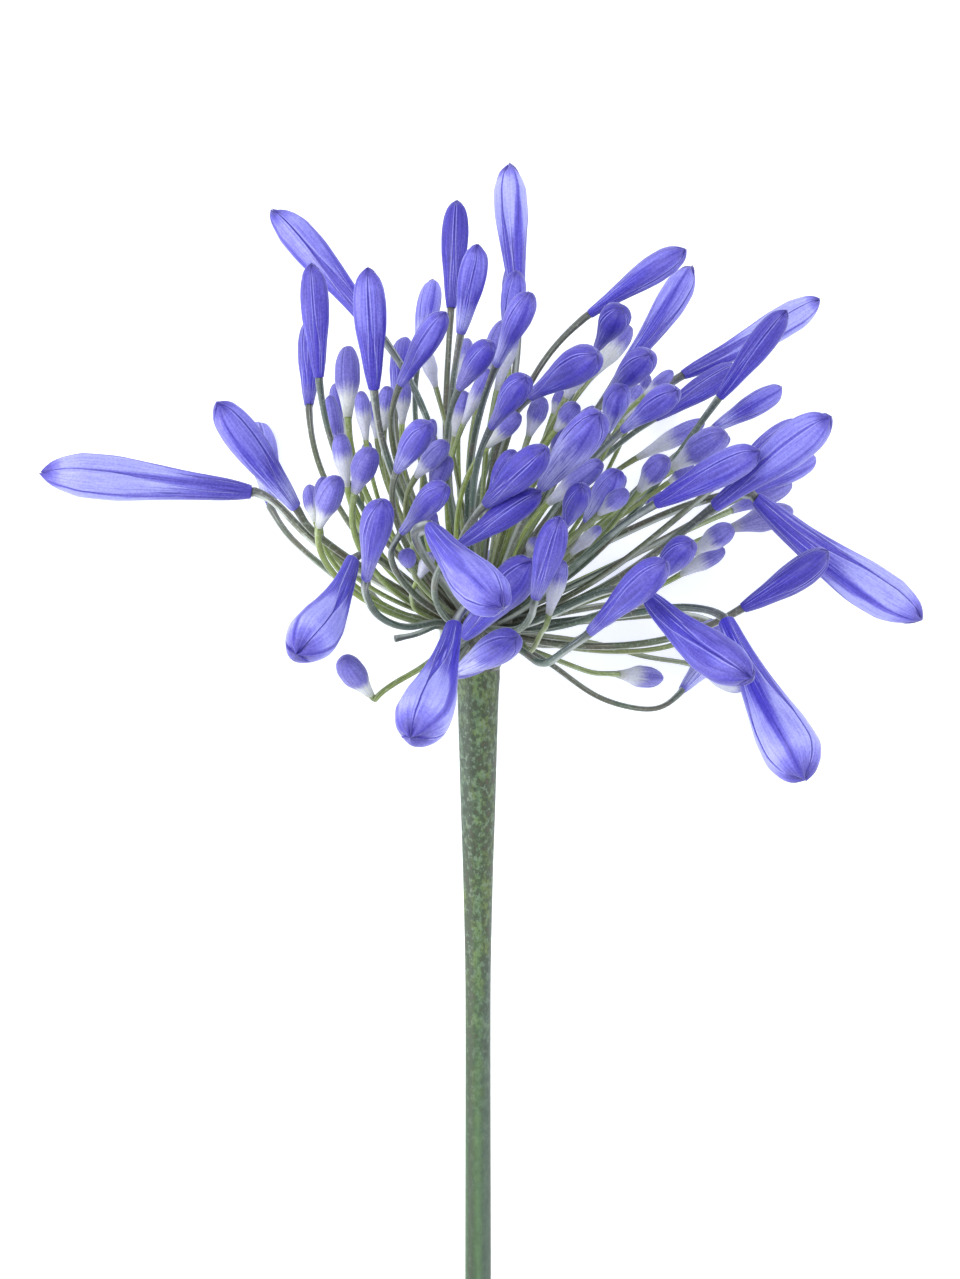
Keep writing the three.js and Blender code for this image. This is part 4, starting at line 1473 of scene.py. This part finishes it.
@dataclass
class Stem:
    """The scape and the crown at its tip, both round about the scape's axis.

    Attributes:
        outline: Distance from the head's centre and radius, in mm.
        crown: The same for the crown.
        sides: Corners of a section.
        close_rows: Rings set close together near the head.
        close_end: Where they end, in mm from the head's centre.
        rows: Rings over the rest.
        rows_start: Where those start.
        crown_rows: Rings of the crown.
        ridge: Height of the low ridges, as a share of the radius.
        scar: Where the scar of the fallen sheath runs round, in mm from the centre.
        scar_height: How far it stands out, in mm.
        scar_breadth: Half its breadth, in mm.
        bevel: Radius of the ring at the cut's edge, as a share of the stem's.
        heart: Radius of the ring inside it.
        lump: Height of the crown's lumps, as a share of the radius.
        crown_look: How the crown is dressed, as a stalk's mark (along, age, tone).
    """

    outline: Outline = ((4, 4.3), (9, 4.3), (14, 4.05), (24, 3.75), (36, 3.45), (54, 2.95),
                        (76, 2.62), (150, 2.7), (SCAPE_LENGTH, SCAPE_END_RADIUS))
    crown: Outline = ((-8, 3.8), (-3, 8.1), (2, 7.6), (5.5, 5.2), (8.7, 4.2))
    sides: int = 48
    close_rows: int = 30
    close_end: float = 16.0
    rows: int = 150
    rows_start: float = 16.6
    crown_rows: int = 40
    ridge: float = 0.012
    scar: float = 10.2
    scar_height: float = 0.07
    scar_breadth: float = 0.35
    bevel: float = 0.97
    heart: float = 0.5
    lump: float = 0.03
    crown_look: Point = (0.05, 0.7, 0.4)

    @property
    def axis(self) -> np.ndarray:
        """The way the scape runs from the head, just low enough for its cut end to rest."""
        dip = math.asin((HEAD_CENTRE[2] - SCAPE_END_RADIUS) / SCAPE_LENGTH)
        return np.array([0, -math.cos(dip), -math.sin(dip)])

    def rings(self, distance: np.ndarray, radius: np.ndarray) -> np.ndarray:
        """Lays rings along the axis.

        Args:
            distance: From the head's centre, shaped (rows, 1).
            radius: Shaped (rows, sides).

        Returns:
            The rings' points.
        """
        left = unit(np.cross([0, 0, 1], self.axis))
        up = np.cross(self.axis, left)
        return lay_rings(distance[..., None] * self.axis, left, up, radius, corners(self.sides))

    def scape_skin(self) -> Skin:
        """Builds the stem.

        Its radius is the smooth outline, with six very low ridges that fade out and in, and
        a scar near the crown. The last rings close over the cut end with a small bevel.

        Returns:
            The stem's skin.
        """
        close = np.linspace(self.outline[0][0], self.close_end, self.close_rows)
        rest = np.linspace(self.rows_start, SCAPE_LENGTH, self.rows)
        distance = np.concatenate([close, rest])[:, None]
        angle = corners(self.sides)
        ridges = self.ridge * np.cos(6 * angle + distance / 40)
        wander = self.ridge * np.sin(distance / 17 + 2 * angle)
        scar = self.scar_height * np.exp(-((distance - self.scar) / self.scar_breadth) ** 2)
        radius = smooth_outline(self.outline, distance) * (1 + ridges + wander) + scar
        distance = np.vstack([distance, [[SCAPE_LENGTH], [SCAPE_LENGTH]]])
        radius = np.vstack([radius, radius[-1:] * self.bevel, radius[-1:] * self.heart])
        cut = np.zeros(distance.shape)
        cut[-2:] = 1
        along = distance / SCAPE_LENGTH
        side = np.cos(angle - math.pi * ease(along, 0.1, 0.27))
        marks = {"stem": stack(side, along, cut)}
        ends = self.axis * distance[0], self.axis * SCAPE_LENGTH
        return Skin(self.rings(distance, radius), *ends, marks)

    def crown_skin(self) -> Skin:
        """Builds the crown: its smooth outline with the low lumps of the stalks' bases.

        Returns:
            The crown's skin.
        """
        distance = np.linspace(self.crown[0][0], self.crown[-1][0], self.crown_rows)[:, None]
        angle = corners(self.sides)
        lumps = self.lump * np.cos(9 * angle + distance) * np.cos(distance * 1.3)
        radius = smooth_outline(self.crown, distance) * (1 + lumps)
        rings = self.rings(distance, radius)
        marks = {
            "stalk": np.broadcast_to(self.crown_look, rings.shape),
            "grain": stack(np.cos(angle), np.sin(angle), distance / 5),
        }
        return Skin(rings, self.axis * distance[0], self.axis * distance[-1], marks)


@dataclass
class Head:
    """The whole flower: its buds, stalks, crown and scape.

    Attributes:
        fine: Shapes the buds that are pieces of their own.
        plain: Shapes the small buds.
        stalks: Shapes the stalks.
        stem: Shapes the scape and the crown.
        seed: Sets the small irregularities.
        turns: The range of turns of the buds that LOOKS leaves out, in degrees.
        tones: The range of their paleness.
        whites: The range of a white foot's reach, as shares of its stage's.
    """

    fine: PetalWrap = field(default_factory=PetalWrap)
    plain: PetalWrap = field(default_factory=lambda: PetalWrap(
        outer=(0.3, 0.62, 0.88, 1.0), inner=(1.08, 1.5), density=0.9))
    stalks: Stalks = field(default_factory=Stalks)
    stem: Stem = field(default_factory=Stem)
    seed: int = 11
    turns: Place = (-60, 60)
    tones: Place = (0.1, 0.6)
    whites: Place = (0.8, 1.2)

    def build(self) -> None:
        """Builds and dresses every piece, and logs each one."""
        rng = np.random.default_rng(self.seed)
        self.build_buds(PetalFinish().material(), rng)
        self.build_stalks(StalkFinish().material(), rng)
        finish = ScapeFinish().material()
        stem = make_piece("stem", [self.stem.scape_skin()], finish, ["scape"])
        log.info("stem, %d faces", len(stem.data.polygons))

    def build_buds(self, finish: bpy.types.Material, rng: np.random.Generator) -> None:
        """Builds each loose bud as a piece, and all the small ones in one more.

        Args:
            finish: Their material.
            rng: The source of their irregularities.
        """
        small: list[Skin] = []
        for bud in BUDS:
            free = rng.uniform(*self.turns), rng.uniform(*self.tones)
            usual = bud.stage.value.white * rng.uniform(*self.whites)
            turn, tone, white = (*LOOKS.get(bud.name, free), usual)[:3]
            node = f"bud_{bud.name}"
            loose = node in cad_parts
            wrap = self.fine if loose else self.plain
            skin = wrap.skin(bud, math.radians(turn), tone, white, rng)
            if loose:
                piece = make_piece(f"petals_{bud.name}", [skin], finish, [node])
                log.info("bud %s, %d faces", bud.name, len(piece.data.polygons))
            else:
                small.append(skin)
        piece = make_piece("small_buds", small, finish, ["umbel"])
        log.info("%d small buds, %d faces", len(small), len(piece.data.polygons))

    def build_stalks(self, finish: bpy.types.Material, rng: np.random.Generator) -> None:
        """Builds all the stalks in one piece, and the crown in another.

        Args:
            finish: Their material.
            rng: The source of their tones.
        """
        shaper = self.stalks
        skins = [
            shaper.skin(shaper.path(bud, aim), shaper.thickness(bud.width),
                        bud.stage.value.age, rng.uniform(0, 1), order * shaper.seed_step)
            for order, (bud, aim) in enumerate(zip(BUDS, shaper.aims(self.stem.axis)))
        ]
        stub = catmull_rom(np.array([(0.0, 0.0, 0.0), *(seen(*point) for point in STUB)]))
        skins.append(shaper.skin(shaper.even(stub), shaper.thickness(STUB_WIDTH), 1.0, 0.5, 0.0))
        piece = make_piece("stalks", skins, finish, ["umbel"])
        log.info("stalks, %d faces", len(piece.data.polygons))
        crown = make_piece("crown", [self.stem.crown_skin()], finish, ["umbel"])
        log.info("crown, %d faces", len(crown.data.polygons))


@dataclass(frozen=True)
class Lamp:
    """A square soft lamp that shines on the head.

    Attributes:
        name: Its name.
        place: Where it hangs, in metres.
        side: Its side, in metres.
        power: In watts.
    """

    name: str
    place: Point
    side: float
    power: float


@dataclass
class Studio:
    """A bright pale table, soft lights all round, and a camera that looks straight down.

    Attributes:
        floor_size: Side of the table, in metres.
        floor_drop: How far it lies under the surface that the flower rests on, in metres.
        floor_glow: Light that the table gives back from below.
        sky: Strength of the even white light.
        lamps: The soft lamps.
        lit: The point that they shine on, in metres.
        sensor: Long side of the camera's sensor, in mm.
    """

    floor_size: float = 6.0
    floor_drop: float = 0.0002
    floor_glow: float = 0.35
    sky: float = 0.8
    lamps: tuple[Lamp, ...] = (
        Lamp("overhead", (-0.35, 0.45, 1.1), 0.7, 7.0),
        Lamp("right", (0.9, 0.0, 0.5), 0.6, 2.5),
        Lamp("left", (-0.9, -0.2, 0.4), 0.6, 4.5),
    )
    lit: Point = (0, 0.09, 0.06)
    sensor: float = 36.0

    def build(self) -> None:
        """Builds the table, the lights and the camera."""
        self.floor()
        self.lights()
        self.camera()
        log.info("studio")

    def floor(self) -> None:
        """Lays a plain pale table just under the surface that the flower rests on."""
        half = self.floor_size / 2
        mesh = bpy.data.meshes.new("table")
        low = -self.floor_drop
        points = [(-half, -half, low), (half, -half, low), (half, half, low), (-half, half, low)]
        mesh.from_pydata(points, [], [(0, 1, 2, 3)])
        paint = Paint("pale_table")
        mesh.materials.append(paint.surface(
            Base_Color=srgb("f4f7f7"), Roughness=0.9, Specular_IOR_Level=0.1,
            Emission_Color=srgb("fbfdff"), Emission_Strength=self.floor_glow))
        table = bpy.data.objects.new("table", mesh)
        bpy.context.scene.collection.objects.link(table)

    def lights(self) -> None:
        """Sets an even sky and the soft lamps."""
        world = bpy.data.worlds.new("sky")
        world.use_nodes = True
        back = world.node_tree.nodes["Background"]
        back.inputs["Color"].default_value = srgb("f7fbff")
        back.inputs["Strength"].default_value = self.sky
        bpy.context.scene.world = world
        for lamp in self.lamps:
            data = bpy.data.lights.new(lamp.name, "AREA")
            data.shape = "SQUARE"
            data.size = lamp.side
            data.energy = lamp.power
            hung = bpy.data.objects.new(lamp.name, data)
            hung.location = lamp.place
            hung.rotation_euler = look_along(np.array(self.lit) - np.array(lamp.place))
            bpy.context.scene.collection.objects.link(hung)

    def camera(self) -> None:
        """Hangs the camera over the middle of the picture, level with it."""
        centre_across = (PICTURE_ACROSS / 2 - CENTRE_ACROSS) * UNIT + HEAD_CENTRE[0]
        centre_up = (CENTRE_DOWN - PICTURE_DOWN / 2) * UNIT + HEAD_CENTRE[1]
        data = bpy.data.cameras.new("camera")
        data.sensor_width = self.sensor
        data.lens = self.sensor * EYE_DISTANCE / (PICTURE_DOWN * UNIT)
        camera = bpy.data.objects.new("camera", data)
        camera.location = (centre_across * MM, centre_up * MM, (HEAD_CENTRE[2] + EYE_DISTANCE) * MM)
        bpy.context.scene.collection.objects.link(camera)
        bpy.context.scene.camera = camera
        bpy.context.scene.view_settings.view_transform = "Standard"


def look_along(aim: np.ndarray) -> Point:
    """Turns a lamp, which shines down at rest, to shine along a direction.

    Args:
        aim: The direction, of any length.

    Returns:
        Euler angles.
    """
    across, ahead, up = unit(aim)
    return (math.acos(-up), 0.0, math.atan2(ahead, across) + math.pi * 1.5)


def main() -> None:
    """Builds the studio and the flower."""
    logging.basicConfig(level=logging.INFO, format="%(message)s")
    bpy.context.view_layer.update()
    Studio().build()
    Head().build()


if __name__ == "__main__":
    main()
